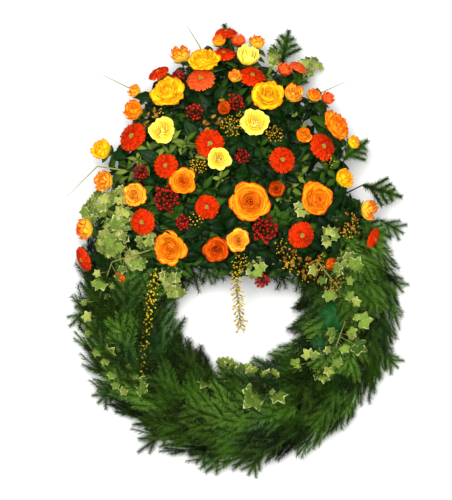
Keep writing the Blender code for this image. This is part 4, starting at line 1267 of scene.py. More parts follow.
class NeedleGrowth(Growth):
    """Fir twigs: whorls of flat needles, swept forward and spread to both sides."""

    name = "fir_needles_on_twigs"
    sizes = {
        "Spacing": ("NodeSocketFloat", 3.9 * MM),
        "Needle length": ("NodeSocketFloat", 19 * MM),
        "Needle width": ("NodeSocketFloat", 2.3 * MM),
        "Stalk radius": ("NodeSocketFloat", 1.3 * MM),
        "Needles": ("NodeSocketMaterial", None),
        "Stalk": ("NodeSocketMaterial", None),
    }
    # Each needle of a whorl: degrees off the twig, degrees round it from its right side
    whorl = ((52, 4), (50, 178), (40, 36), (42, 146))
    flatness = 0.4
    stray = math.radians(11)

    def grow(self) -> bpy.types.Node:
        """Sets a whorl of needles on every step along the twigs."""
        add, given = self.add, self.given
        half = add("ShaderNodeMath", {0: given["Needle width"], 1: 0.55}, operation="MULTIPLY")
        cone = {"Vertices": 3, "Side Segments": 1, "Fill Segments": 1, "Radius Top": 0.0}
        cone.update({"Radius Bottom": half, "Depth": given["Needle length"]})
        needle = self.marked(add("GeometryNodeMeshCone", cone), given["Needle length"])
        flat = {"Scale": (1.0, self.flatness, 1.0), "Geometry": needle}
        flat = add("GeometryNodeTransform", flat)
        whorl = add("GeometryNodeJoinGeometry")
        for splay, round_twig in self.whorl:
            turned = (0.0, math.radians(splay), math.radians(round_twig))
            feed(whorl, {0: add("GeometryNodeTransform", {"Rotation": turned, "Geometry": flat})})
        lines = add("GeometryNodeMeshToCurve", {"Mesh": given["Strands"]})
        steps = {"Curve": lines, "Length": given["Spacing"]}
        steps = add("GeometryNodeResampleCurve", steps, mode="LENGTH")
        up = {"Name": "up"}
        up = add("GeometryNodeInputNamedAttribute", up, data_type="FLOAT_VECTOR")
        axes = {"Primary Axis": add("GeometryNodeInputTangent"), "Secondary Axis": up}
        turn = add("FunctionNodeAxesToRotation", axes, primary_axis="Z", secondary_axis="Y")
        strays = [
            add("FunctionNodeRandomValue", {2: -self.stray, 3: self.stray, "Seed": seed})
            for seed in (3, 5, 7)
        ]
        wander = add("ShaderNodeCombineXYZ", dict(enumerate(strays)))
        loose = {"Rotation": turn, "Rotate By": wander}
        loose = add("FunctionNodeRotateRotation", loose, rotation_space="LOCAL")
        late = {0: add("GeometryNodeSplineParameter"), 1: 3.0}
        late = add("ShaderNodeMath", late, operation="POWER")
        taper = add("ShaderNodeMath", {0: late, 1: -0.35, 2: 1.0}, operation="MULTIPLY_ADD")
        own = add("FunctionNodeRandomValue", {2: 0.82, 3: 1.12, "Seed": 9})
        size = add("GeometryNodeInputNamedAttribute", {"Name": "size"}, data_type="FLOAT")
        size = add("ShaderNodeMath", {0: size, 1: own}, operation="MULTIPLY")
        size = add("ShaderNodeMath", {0: size, 1: taper}, operation="MULTIPLY")
        own = add("FunctionNodeRandomValue", {2: -0.15, 3: 0.15, "Seed": 11})
        tone = add("GeometryNodeInputNamedAttribute", {"Name": "tone"}, data_type="FLOAT")
        tone = add("ShaderNodeMath", {0: tone, 1: own}, operation="ADD")
        inputs = {"Points": steps, "Instance": whorl, "Rotation": loose, "Scale": size}
        return self.placed(inputs, tone, "Needles", 16 * MM, 3)


class BeadGrowth(Growth):
    """Beads on stalks: berries, seeds or the florets of a disc."""

    name = "beads_on_stalks"
    sizes = {
        "Bead radius": ("NodeSocketFloat", 4 * MM),
        "Segments": ("NodeSocketInt", 7),
        "Rings": ("NodeSocketInt", 5),
        "Stalk radius": ("NodeSocketFloat", 0.5 * MM),
        "Skin": ("NodeSocketMaterial", None),
        "Stalk": ("NodeSocketMaterial", None),
    }

    def grow(self) -> bpy.types.Node:
        """Sets a bead on each place that is marked for one."""
        add, given = self.add, self.given
        ball = {"Segments": given["Segments"], "Rings": given["Rings"]}
        ball = add("GeometryNodeMeshUVSphere", {**ball, "Radius": given["Bead radius"]})
        bead = self.marked(ball, given["Bead radius"])
        smooth = add("GeometryNodeSetShadeSmooth", {"Geometry": bead})
        is_bead = add("GeometryNodeInputNamedAttribute", {"Name": "bead"}, data_type="FLOAT")
        is_bead = add("ShaderNodeMath", {0: is_bead, 1: 0.5}, operation="GREATER_THAN")
        places = {"Mesh": given["Strands"], "Selection": is_bead}
        places = add("GeometryNodeMeshToPoints", places)
        up = {"Name": "up"}
        up = add("GeometryNodeInputNamedAttribute", up, data_type="FLOAT_VECTOR")
        outwards = add("FunctionNodeAlignRotationToVector", {"Vector": up}, axis="Z")
        own = add("FunctionNodeRandomValue", {2: 0.85, 3: 1.12, "Seed": 13})
        size = add("GeometryNodeInputNamedAttribute", {"Name": "size"}, data_type="FLOAT")
        size = add("ShaderNodeMath", {0: size, 1: own}, operation="MULTIPLY")
        tone = add("FunctionNodeRandomValue", {2: 0.0, 3: 1.0, "Seed": 17})
        inputs = {"Points": places, "Instance": smooth, "Rotation": outwards, "Scale": size}
        return self.placed(inputs, tone, "Skin", 6 * MM, 4)


@dataclass
class StrawRing:
    """The ring of bound straw that everything lies on.

    Attributes:
        steps: how many sections it is made of.
        sides: how many points a section has.
        pucker: how far the binding pulls the straw in.
        turns: how many turns of binding there are.
    """

    steps: int = 176
    sides: int = 20
    pucker: float = 1.4 * MM
    turns: int = 44

    def build(self) -> bpy.types.Object:
        """Makes the ring, flat where it rests, drawn in under each turn of its binding."""
        piece = Piece("straw_ring")
        middle = ring_middle()
        points, spots, faces = [], [], []
        for step in range(self.steps):
            angle = math.tau * step / self.steps
            pull = self.pucker * 0.5 * (1 + math.cos(angle * self.turns))
            for side in range(self.sides):
                roll = math.tau * side / self.sides
                reach = STRAW_RADIUS * 0.985 - pull
                out = RING_RADIUS + reach * math.cos(roll)
                height = max(0.0, STRAW_HEIGHT + reach * math.sin(roll))
                x, y = middle.x + out * math.cos(angle), middle.y + out * math.sin(angle)
                points.append((x, y, height))
                spots.append((side / self.sides, step / self.steps))
        for step in range(self.steps):
            ahead = (step + 1) % self.steps
            for side in range(self.sides):
                beside = (side + 1) % self.sides
                a, b = step * self.sides, ahead * self.sides
                faces.append((a + side, b + side, b + beside, a + beside))
        straw = StrawFinish("wound_straw", roughness=0.8, turns=self.turns)
        piece.add(np.array(points), faces, straw, np.array(spots))
        return piece.finished("bound_straw", "straw_ring")


@dataclass
class FoamBlock:
    """The block of floral foam, shown as it was packed."""

    def build(self) -> None:
        """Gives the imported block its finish."""
        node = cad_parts["floral_foam"]
        node.data.materials.clear()
        node.data.materials.append(FoamFinish("soaked_foam", roughness=0.95).make())


@dataclass
class FirShadeSheet:
    """A near-black sheet laid over the straw under the fronds: painted shade between them.

    Attributes:
        rolls: where it starts and ends round the ring's section, in degrees.
        thickness: how thick it is.
        rough: how far its surface wanders.
    """

    rolls: tuple[float, float] = (-22, 202)
    thickness: float = 6 * MM
    rough: float = 2 * MM

    def build(self) -> bpy.types.Object:
        """Lays one rough sheet over the ring, open where the foam sits."""
        draw = random.Random(9)
        rows, cols = 117, 15
        grid = np.zeros((rows, cols, 3))
        for row in range(rows):
            turn = FIR_START + 0.5 + (FIR_SECTORS * FIR_SECTOR - 1) * row / (rows - 1)
            for col in range(cols):
                roll = self.rolls[0] + (self.rolls[1] - self.rolls[0]) * col / (cols - 1)
                lift = -0.5 * self.thickness + draw.uniform(-1, 1) * self.rough
                grid[row, col] = ring_spot(turn, roll, lift)
        piece = Piece("fir_shade_sheet")
        piece.add_sheet(grid, self.thickness, SHADE_UNDER_FIR)
        return piece.finished("fir_green")


@dataclass
class FirBundle:
    """One sector of the ring's fir: fronds in rows round the section, all flowing clockwise.

    Attributes:
        number: which sector it is, from 1.
        rows: each row's roll in degrees, from outside to inside, with its fronds' length and
            the height of their tips over the mat in millimetres.
        ranks: how many fronds a row has in each of the two layers.
        side_twigs: how many side twigs a frond of the upper layer has on each hand.
        splay: the angle of the side twigs off the frond, in degrees.
        raised: how far the upper layer stands over the lower one, whose near-black tone is painted
            shade.
        needle: the length of a needle.
        lowest: the least height over the ground that a twig keeps.
    """

    number: int
    rows: tuple[tuple[float, float, float], ...] = (
        (-10, 115, 46),
        (8, 125, 54),
        (26, 130, 50),
        (44, 130, 36),
        (62, 125, 26),
        (84, 120, 22),
        (106, 110, 22),
        (130, 100, 24),
        (156, 90, 26),
    )
    ranks: int = 2
    side_twigs: int = 2
    splay: float = 40.0
    raised: float = 11 * MM
    needle: float = 21 * MM
    lowest: float = 20 * MM

    def frond(
        self, strands: Strands, turn: float, row: tuple, upper: bool, draw: random.Random
    ) -> None:
        """Lays one frond: a twig along the ring, with side twigs in its plane.

        Args:
            strands: where its twigs are added.
            turn: where it starts round the ring, in degrees.
            row: its roll, its length and the height of its tip.
            upper: whether it lies in the upper layer rather than in the lower one, which is
                painted near-black as shade.
            draw: the sector's own random numbers.
        """
        roll, length, high = row
        roll += draw.uniform(-8, 8)
        length *= MM * draw.uniform(0.75, 1.15)
        high *= MM * draw.uniform(0.6, 1.1)
        reach = RING_RADIUS + STRAW_RADIUS * math.cos(math.radians(roll))
        sweep = math.degrees(length / reach)
        outward = 14 * math.cos(math.radians(roll)) + draw.uniform(-14, 14)
        base = self.raised if upper else 2 * MM
        route = []
        for k in range(6):
            share = k / 5
            lift = base + high * share**1.5
            place = ring_spot(turn - sweep * share, roll - outward * share, lift)
            place.z = max(place.z, self.lowest)
            route.append(place)
        up = ring_spot(turn, roll, 1.0) - ring_spot(turn, roll, 0.0)
        up = (up + 0.35 * UP + draw.uniform(-0.25, 0.25) * ring_across(turn)).normalized()
        # The lower layer's fronds get a near-black tone, painted shade under the upper layer; the
        # upper fronds' tones differ at random.
        tone = draw.choice((0.12, 0.35, 0.6, 0.9, 1.3)) if upper else draw.uniform(0.0, 0.06)
        strands.add_line(route, up, 1.0, tone)
        pairs = self.side_twigs if upper else 1
        for k in range(pairs):
            at, ahead = along_route(route, (k + 0.8) / (pairs + 0.8))
            side = ahead.cross(up).normalized()
            for hand in (-1, 1):
                angle = math.radians(self.splay + draw.uniform(-8, 8))
                away = ahead * math.cos(angle) + side * hand * math.sin(angle)
                size = (56 - 14 * k) * MM * draw.uniform(0.8, 1.15)
                end = at + away * size + ahead * 0.15 * size + up * draw.uniform(-4, 4) * MM
                middle = at.lerp(end, 0.5) + side * hand * 2 * MM
                for place in (middle, end):
                    place.z = max(place.z, self.lowest)
                strands.add_line([at, middle, end], up, 0.9, tone + draw.uniform(-0.05, 0.1))

    def build(self, growth: NeedleGrowth) -> bpy.types.Object:
        """Grows the sector's needles over its fronds."""
        draw = random.Random(100 + self.number)
        strands = Strands()
        first = FIR_START + FIR_SECTOR * (self.number - 1)
        for upper in (False, True):
            for index, row in enumerate(self.rows):
                for rank in range(self.ranks):
                    share = (rank + 0.5 * ((index + upper) % 2) + 0.25) / self.ranks
                    turn = first + FIR_SECTOR * share + draw.uniform(-5, 5) + 7
                    self.frond(strands, turn, row, upper, draw)
        name = f"fir_bundle_{self.number:02d}"
        finishes = {"needles": NEEDLES, "stalk": BARK}
        obj = growth.grown(name, strands, needle_length=self.needle, **finishes)
        return settle(obj, "fir_green", name)


@dataclass
class FirTufts:
    """Single tips of fir that stand out of the ring, and ones under the mound, made dark as
    painted shade.

    Attributes:
        drop: how far each sinks towards its tip.
        side: the length of a side twig.
        needle: the length of a needle.
    """

    drop: float = 18 * MM
    side: float = 34 * MM
    needle: float = 18 * MM

    def build(self, growth: NeedleGrowth) -> bpy.types.Object:
        """Lays each tip as one twig with two pairs of side twigs."""
        draw = random.Random(31)
        strands = Strands()
        for start, end, height, tone in FIR_TUFTS:
            near = seen_at(*start, height)
            far = seen_at(*end, height - self.drop)
            ahead = (far - near).normalized()
            side = ahead.cross(UP).normalized()
            strands.add_line([near, near.lerp(far, 0.5) + 4 * MM * UP, far], UP, 0.9, tone)
            for k in range(2):
                at = near.lerp(far, 0.25 + 0.3 * k)
                for hand in (-1, 1):
                    away = (ahead + side * hand * draw.uniform(0.6, 0.9)).normalized()
                    strands.add_line([at, at + away * self.side], UP, 0.85, tone)
        obj = growth.grown(
            "fir_tufts", strands, needle_length=self.needle, needles=NEEDLES, stalk=BARK
        )
        return settle(obj, "fir_green")


@dataclass
class FirSprigs:
    """Fir twigs that stand out of the mound.

    Attributes:
        name: the node that they stand for.
        needle: the length of a needle.
        spacing: the distance between two whorls of needles.
        side: how long the side twigs are, as a share of the twig.
    """

    name: str
    needle: float = 17 * MM
    spacing: float = 2 * MM
    side: float = 0.42

    def build(self, growth: NeedleGrowth) -> bpy.types.Object:
        """Grows needles on each twig and leads its bare part down into the foam."""
        solid = Solid(self.name)
        strands = Strands()
        draw = random.Random(len(self.name))
        tips = [mound_at(*end)[0] for _, end in SPRIGS[self.name]]
        middle = sum(tips, Vector()) / len(tips)
        foot = foam_foot(middle)
        fork = foot.lerp(middle, 0.56)
        bare = Piece(self.name + "_stalks")
        bare.add_tube([foot, fork], [STEM_RADIUS] * 2, BARK)
        for start, end in SPRIGS[self.name]:
            near, far = mound_at(*start)[0], mound_at(*end)[0]
            shift = solid.nearest(far) - far
            near, far = near + shift, far + shift
            ahead = (far - near).normalized()
            up = (UP - ahead * ahead.z).normalized()
            begin = near - ahead * 14 * MM
            knee = 0.5 * (fork + begin) + Vector((0, 0, 2 * MM))
            bare.add_tube([fork, knee, begin], [1.8 * MM, 1.6 * MM, 1.4 * MM], BARK)
            route = [begin, begin.lerp(far, 0.5) + up * 3 * MM, far - ahead * 6 * MM]
            strands.add_line(route, up)
            length = (far - begin).length
            sideways = ahead.cross(up).normalized()
            for k in range(3):
                at = route[0].lerp(route[2], 0.2 + 0.22 * k)
                for hand in (-1, 1):
                    reach = self.side * length * (1 - 0.25 * k) * draw.uniform(0.85, 1.1)
                    away = (ahead * 0.78 + sideways * hand * 0.62).normalized()
                    end = at + away * reach + up * draw.uniform(-4, 3) * MM
                    strands.add_line([at, at + away * 0.5 * reach, end], up, 0.9)
        finishes = {"needles": NEEDLES, "stalk": BARK}
        sizes = {"needle_length": self.needle, "spacing": self.spacing}
        obj = growth.grown(self.name, strands, **sizes, **finishes)
        settle(obj, "fir_green", self.name)
        bare.finished("fir_green", self.name)
        return obj


def curve_through(base: tuple, belly: tuple, tip: tuple, steps: int) -> np.ndarray:
    """Bends a petal's middle line from its base to its tip.

    Args:
        base: distance from the axis and height where it starts.
        belly: the guide that it leans towards.
        tip: where it ends.
        steps: how many points it has.
    Returns:
        Distance and height, one point a row.
    """
    share = np.linspace(0, 1, steps)[:, None]
    start, guide, end = np.array(base), np.array(belly), np.array(tip)
    return (1 - share) ** 2 * start + 2 * share * (1 - share) * guide + share**2 * end


@dataclass
class Petal:
    """One petal round a flower's axis.

    Attributes:
        base: distance from the axis and height where it starts.
        belly: the guide that its middle line leans towards.
        tip: where its middle line ends.
        width: its greatest width.
        widths: the shares of that width from base to tip.
        wrap: how closely it follows a circle round the axis; 1 is the circle itself.
        cup: how far its sides stand over its middle line.
        frill: how far its edge waves.
        cols: how many points it has across.
    """

    base: tuple[float, float]
    belly: tuple[float, float]
    tip: tuple[float, float]
    width: float
    widths: tuple[float, ...] = (0.3, 0.66, 0.92, 1.0, 0.84, 0.42)
    wrap: float = 1.0
    cup: float = 0.0
    frill: float = 0.0
    cols: int = 5

    def grid(self, heading: float, phase: float) -> np.ndarray:
        """Makes the petal's points.

        Args:
            heading: where it stands round the axis, in radians.
            phase: where its frill starts.
        Returns:
            Points by row along it and column across it.
        """
        rows = len(self.widths)
        line = curve_through(self.base, self.belly, self.tip, rows)
        u = np.linspace(-1, 1, self.cols)[None, :]
        v = np.linspace(0, 1, rows)[:, None]
        half = 0.5 * self.width * np.array(self.widths)[:, None]
        out, height = line[:, :1], line[:, 1:]
        bend = np.maximum(out * self.wrap, 0.4 * half)
        off = u * half / bend
        limited = np.clip(off, -1.5, 1.5)
        radial = out - bend * (1 - np.cos(limited))
        sideways = bend * np.sin(limited)
        lift = self.cup * u**2 * v + self.frill * np.sin(3.2 * u + phase) * v**2
        x = radial * math.cos(heading) - sideways * math.sin(heading)
        y = radial * math.sin(heading) + sideways * math.cos(heading)
        return np.stack([x, y, height + lift], axis=2)


@dataclass
class Bloom:
    """One head while it is built: where it stands and what its petals are added to.

    Attributes:
        piece: what its petals are added to.
        radius: its radius.
        turn: its frame, with Z out of its face.
        draw: its own random numbers.
        thickness: how thick a petal is.
    """

    piece: Piece
    radius: float
    turn: Matrix
    draw: random.Random
    thickness: float = 0.6 * MM

    def add(self, petal: Petal, heading: float, finish: Finish, phase: float = 0.0) -> None:
        """Adds a petal of its own shade at a heading, in radians."""
        grid = petal.grid(heading, phase)
        self.piece.add_sheet(grid, self.thickness, finish, self.draw.random(), self.turn)

    def add_cup(self, petal: Petal, count: int) -> None:
        """Adds a ring of green scales or sepals, all alike, under the petals."""
        for k in range(count):
            grid = petal.grid(math.tau * k / count, 0.0)
            self.piece.add_sheet(grid, self.thickness, SEPAL, 0.5, self.turn)

    def add_whorls(self, whorls: tuple[tuple[float, ...], ...], finish: Finish) -> None:
        """Adds the petals of a rose or a bud, and the five sepals under them.

        Args:
            whorls: each whorl's petals, reach, tip height, belly reach and height, width
                and wrap, all but the first and the last as shares of the radius.
            finish: the petals' material.
        """
        draw, radius = self.draw, self.radius
        for level, (count, reach, tip, out, low, width, wrap) in enumerate(whorls):
            shift = draw.uniform(0, math.tau)
            for k in range(int(count)):
                heading = shift + math.tau * k / count + draw.uniform(-0.3, 0.3)
                grown = draw.uniform(0.84, 1.06)
                petal = Petal(
                    base=(0.06 * radius, -0.12 * radius),
                    belly=(out * radius, low * radius),
                    tip=(reach * radius * grown, tip * radius * draw.uniform(0.84, 1.06)),
                    width=width * radius * draw.uniform(0.85, 1.1),
                    wrap=wrap,
                    cup=-0.05 * radius if level < 3 else 0.0,
                    frill=0.07 * radius,
                )
                self.add(petal, heading, finish, draw.uniform(0, math.tau))
        sepal = Petal(
            base=(0.07 * radius, -0.26 * radius),
            belly=(0.5 * radius, -0.24 * radius),
            tip=(0.82 * radius, 0.02 * radius),
            width=0.3 * radius,
            widths=(0.6, 1.0, 0.7, 0.15),
            wrap=1.4,
            cols=3,
        )
        self.add_cup(sepal, 5)


@dataclass
class Gerbera:
    """A gerbera: layers of strap florets round a dense disc.

    Attributes:
        name: the node that it stands for.
        layers: each layer's florets, reach, tip height in millimetres and width in millimetres.
        steepest: how far the face leans from level at most, in degrees.
        disc: the disc's radius as a share of the head's.
        disc_florets: how many florets the disc has.
        bead: the radius of a floret of the disc.
        drawn_for: the radius of the head that the widths are given for.
    """

    name: str
    layers: tuple[tuple[int, float, float, float], ...] = (
        (34, 1.0, 1.2, 6.2),
        (31, 0.90, 3.6, 5.8),
        (26, 0.73, 6.0, 5.2),
        (20, 0.54, 8.0, 4.4),
        (14, 0.36, 8.8, 3.6),
    )
    steepest: float = 60.0
    disc: float = 0.17
    disc_florets: int = 32
    bead: float = 1.15 * MM
    drawn_for: float = 31 * MM

    def build(self, growth: BeadGrowth) -> bpy.types.Object:
        """Makes the florets, the disc and the stem where the solid has them."""
        across, down, width, hue = GERBERAS[self.name]
        place, facing, radius = head_at(across, down, width)
        solid = Solid(self.name)
        at = solid.head(place, facing, radius, GERBERA_HEIGHT)
        draw = random.Random(across)
        face = facing.copy()
        if facing.angle(UP) > math.radians(self.steepest):
            face = Matrix.Rotation(math.radians(self.steepest), 3, UP.cross(facing)) @ UP
        turn = turned_to(at, face)
        piece = Piece(self.name)
        self.florets(Bloom(piece, radius, turn, draw), PETALS[hue])
        solid.stems([(at, facing, radius, 9 * MM)])
        piece.add_solid(solid, STEM)
        strands = Strands()
        for _, share, angle in spiral(self.disc_florets):
            off = self.disc * radius * share
            high = (8.6 - 1.6 * share**2) * MM
            spot = Vector((off * math.cos(angle), off * math.sin(angle), high))
            strands.add_bead(turn @ spot, face, 1.0 + 0.35 * share)
        sizes = {"bead_radius": self.bead * radius / self.drawn_for, "segments": 5, "rings": 4}
        disc = growth.grown(self.name + "_disc", strands, skin=DISC, stalk=STEM, **sizes)
        settle(disc, "gerbera_petal", self.name)
        return piece.finished("gerbera_petal", self.name)

    def florets(self, bloom: Bloom, finish: Finish) -> None:
        """Adds the strap florets, layer by layer, and the green cup under them.

        Args:
            bloom: the head that they are added to.
            finish: the florets' material.
        """
        draw, radius = bloom.draw, bloom.radius
        for count, reach, tip, floret in self.layers:
            shift = draw.uniform(0, math.tau)
            for k in range(count):
                heading = shift + math.tau * k / count + draw.uniform(-0.05, 0.05)
                long = reach * radius * draw.uniform(0.93, 1.02)
                high = (tip + draw.uniform(-0.8, 0.8)) * MM
                petal = Petal(
                    base=(0.16 * radius, 1.5 * MM + 0.4 * high),
                    belly=(0.55 * long, high + 2.6 * MM),
                    tip=(long, high - 0.6 * MM),
                    width=floret * MM * radius / self.drawn_for * draw.uniform(0.85, 1.1),
                    widths=(0.45, 0.8, 1.0, 0.62),
                    wrap=3.0,
                    cup=0.7 * MM,
                    cols=3,
                )
                bloom.add(petal, heading, finish)
        scale = Petal(
            base=(2.4 * MM, -4 * MM),
            belly=(0.3 * radius, -3.5 * MM),
            tip=(0.42 * radius, 1.2 * MM),
            width=0.26 * radius,
            widths=(0.6, 1.0, 0.3),
            wrap=1.2,
            cols=3,
        )
        bloom.add_cup(scale, 12)


@dataclass
class Rose:
    """An open rose: whorls of petals, each higher and narrower than the one round it.

    Attributes:
        name: the node that it stands for.
        whorls: each whorl's petals, reach, tip height, belly reach, belly height, width, wrap.
    """

    name: str
    whorls: tuple[tuple[float, ...], ...] = (
        (7, 1.04, 0.26, 0.62, 0.14, 1.05, 1.7),
        (7, 0.92, 0.42, 0.68, 0.14, 0.95, 1.5),
        (6, 0.77, 0.55, 0.72, 0.12, 0.92, 1.3),
        (6, 0.60, 0.64, 0.66, 0.12, 0.80, 1.15),
        (5, 0.44, 0.70, 0.56, 0.12, 0.68, 1.0),
        (4, 0.29, 0.71, 0.42, 0.14, 0.54, 1.0),
        (3, 0.16, 0.70, 0.27, 0.16, 0.38, 1.0),
        (3, 0.06, 0.68, 0.15, 0.24, 0.24, 1.2),
    )

    def build(self) -> bpy.types.Object:
        """Makes the petals, the sepals and the stem where the solid has them."""
        across, down, width, hue = ROSES[self.name]
        place, facing, radius = head_at(across, down, width)
        solid = Solid(self.name)
        at = solid.head(place, facing, radius, ROSE_HEIGHT * radius)
        turn = turned_to(at, facing)
        piece = Piece(self.name)
        bloom = Bloom(piece, radius, turn, random.Random(across))
        bloom.add_whorls(self.whorls, PETALS[hue])
        solid.stems([(at, facing, radius, 0.8 * radius)])
        piece.add_solid(solid, STEM)
        slot = "rose_petal_yellow"
        if "orange" in self.name or "rust" in self.name:
            slot = "rose_petal_orange"
        return piece.finished(slot, self.name)


@dataclass
class SprayRoses:
    """A branched stem with small half-open roses.

    Attributes:
        name: the node that they stand for.
        whorls: as for a rose, from the outermost petals in.
    """

    name: str
    whorls: tuple[tuple[float, ...], ...] = (
        (5, 1.00, 1.02, 0.98, 0.05, 1.25, 1.15),
        (5, 0.84, 1.20, 0.92, 0.10, 1.10, 1.0),
        (4, 0.60, 1.32, 0.76, 0.20, 0.95, 1.0),
        (4, 0.38, 1.36, 0.54, 0.25, 0.70, 1.0),
        (3, 0.17, 1.34, 0.30, 0.30, 0.45, 1.0),
    )

    def build(self) -> bpy.types.Object:
        """Makes each small head where the solid has it, on the solid's own stems."""
        solid = Solid(self.name)
        piece = Piece(self.name)
        heads = []
        for across, down, width, hue in SPRAYS[self.name]:
            place, facing, radius = head_at(across, down, width)
            at = self.find(solid, place, facing, radius)
            bloom = Bloom(piece, radius, turned_to(at, facing), random.Random(across))
            bloom.add_whorls(self.whorls, PETALS[hue])
            heads.append((at, facing, radius, 1.45 * radius))
        solid.stems(heads)
        piece.add_solid(solid, STEM)
        return piece.finished("rose_petal_orange", self.name)

    def find(self, solid: Solid, place: Vector, facing: Vector, radius: float) -> Vector:
        """Finds a small head by the tip of its solid, where eight edges meet.

        Args:
            solid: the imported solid.
            place: where the head is meant to be.
            facing: where it looks.
            radius: its radius.
        Returns:
            The head's origin.
        """
        tips = []
        for vert in solid.shape.verts:
            off = vert.co - place
            if off.length > 80 * MM or len(vert.link_edges) != 8:
                continue
            round_it = [edge.other_vert(vert).co for edge in vert.link_edges]
            middle = sum(round_it, Vector()) / len(round_it)
            rise = vert.co - middle
            if rise.length > 0.05 * radius and rise.normalized().dot(facing) > 0.8:
                tips.append(vert.co)
        if not tips:
            LOG.warning("no small head found at %s", tuple(place))
            return place
        tip = min(tips, key=lambda p: (p - place - facing * 1.4 * radius).length)
        return tip - facing * 1.4 * radius


@dataclass
class Berries:
    """Dense bunches of small berries on a branched stem.

    Attributes:
        name: the node that they stand for.
        radius: a berry's radius.
    """

    name: str
    radius: float = 3.4 * MM

    def build(self, growth: BeadGrowth) -> bpy.types.Object:
        """Sets berries over each bunch of the solid, on short stalks."""
        solid = Solid(self.name)
        strands = Strands()
        heads = []
        for across, down, width, count in BERRY_BUNCHES[self.name]:
            place, facing, reach = head_at(across, down, width)
            at = place.copy()
            for _ in range(12):
                near = [p for p in solid.points if (p - at).length < reach + 16 * MM]
                if near:
                    at = sum(near, Vector()) / len(near)
            turn = turned_to(at, facing)
            for k in range(count):
                down_by = math.acos(1 - 1.55 * (k + 0.5) / count)
                angle = k * GOLDEN
                flat = math.sin(down_by)
                out = Vector((flat * math.cos(angle), flat * math.sin(angle), math.cos(down_by)))
                spread = reach * (1.08, 0.9, 0.74)[k % 3] * (1 + 0.12 * math.sin(5 * angle))
                spot = turn @ Vector((out.x * spread, out.y * spread, out.z * spread * 0.8))
                away = turn.to_3x3() @ out
                strands.add_line([at - facing * 0.5 * reach, spot], facing)
                strands.add_bead(spot, away)
            heads.append((at, facing, reach + 6 * MM, reach + 8 * MM))
        finishes = {"skin": BERRY, "stalk": STEM}
        obj = growth.grown(self.name, strands, bead_radius=self.radius, **finishes)
        settle(obj, "berry_red", self.name)
        solid.stems(heads)
        stems = Piece(self.name + "_stems")
        stems.add_solid(solid, STEM)
        stems.finished("berry_red", self.name)
        return obj


@dataclass
class SeedSpray:
    """A thin hanging stem with many small yellow beads on short stalks.

    Attributes:
        name: the node that it stands for.
        beads: how many beads it has.
        stalk: how long their stalks are.
        radius: a bead's radius.
    """

    name: str
    beads: int = 120
    stalk: float = 15 * MM
    radius: float = 2.3 * MM

    def build(self, growth: BeadGrowth) -> bpy.types.Object:
        """Hangs the stem along its route and sets its beads round it."""
        draw = random.Random(len(self.name))
        stops = SEED_SPRAYS[self.name]
        route = [seen_at(across, down, height * MM) for across, down, height in stops]
        strands = Strands()
        root = seen_at(*SEED_FEET[self.name], STEM_FOOT)
        back = (route[0] - route[1]).normalized()
        strands.add_line([root, 0.5 * (root + route[0]) + back * 10 * MM, *route], UP)
        for k in range(self.beads):
            at, ahead = along_route(route, (k + 0.4) / self.beads)
            side = ahead.cross(UP).normalized()
            angle = k * GOLDEN
            away = side * math.cos(angle) + ahead.cross(side) * -abs(math.sin(angle))
            away = (away + ahead * draw.uniform(0.2, 0.9)).normalized()
            end = at + away * self.stalk * draw.uniform(0.35, 1.1)
            strands.add_line([at, end], UP)
            strands.add_bead(end, away, draw.uniform(0.7, 1.15))
        finishes = {"skin": SEED, "stalk": STEM}
        obj = growth.grown(self.name, strands, bead_radius=self.radius, **finishes)
        return settle(obj, "seed_yellow", self.name)


@dataclass
class Blade:
    """A leaf's outline: its half widths from base to tip, as shares of its length.

    Attributes:
        halves: the half widths.
        cols: how many points it has across.
        fold: how far its sides stand over its midrib, as a share of its length.
        arch: how far its middle stands over its ends, as a share of its length.
    """

    halves: tuple[float, ...] = (0.02, 0.13, 0.21, 0.23, 0.18, 0.09, 0.01)
    cols: int = 5
    fold: float = 0.06
    arch: float = 0.08

    def grid(self, length: float) -> np.ndarray:
        """Makes the blade's points, with its base at the origin and its tip along +X."""
        rows = len(self.halves)
        v = np.linspace(0, 1, rows)[:, None]
        u = np.linspace(-1, 1, self.cols)[None, :]
        half = np.array(self.halves)[:, None]
        y = -u * half
        x = np.broadcast_to(v, y.shape)
        z = self.fold * np.abs(u) * (half / max(self.halves)) + self.arch * np.sin(math.pi * v)
        return np.stack([x, y, z], axis=2) * length


BROAD_LEAF = Blade(halves=(0.04, 0.22, 0.25, 0.15, 0.02), cols=3, fold=0.08, arch=0.10)
SLIM_LEAF = Blade(halves=(0.03, 0.14, 0.17, 0.10, 0.01), cols=3, fold=0.05, arch=0.12)
# What the twigs of the mound carry in turn: their leaves' finish, outline and relative size
TWIG_KINDS = (
    (DARK_LEAF, BROAD_LEAF, 1.1), (DARK_LEAF, BROAD_LEAF, 1.0), (MID_LEAF, SLIM_LEAF, 0.9),
    (DARK_LEAF, BROAD_LEAF, 1.15), (MID_LEAF, BROAD_LEAF, 0.8), (DARK_LEAF, SLIM_LEAF, 1.1),
    (FRESH_LEAF, SLIM_LEAF, 0.75),
)


def off_stem(facing: Vector, spin: float) -> Vector:
    """Gives a direction square to a stem, turned about it by an angle in radians."""
    first = facing.orthogonal().normalized()
    return first * math.cos(spin) + facing.cross(first) * math.sin(spin)


def leaf_frame(base: Vector, ahead: Vector, normal: Vector) -> Matrix:
    """Makes a frame at a leaf's base, with X to its tip and Z out of its face.

    Args:
        base: where the blade starts.
        ahead: where its tip lies.
        normal: where its face looks.
    Returns:
        The frame.
    """
    x = ahead.normalized()
    y = normal.cross(x).normalized()
    z = x.cross(y)
    turn = Matrix((x, y, z)).transposed().to_4x4()
    return Matrix.Translation(base) @ turn


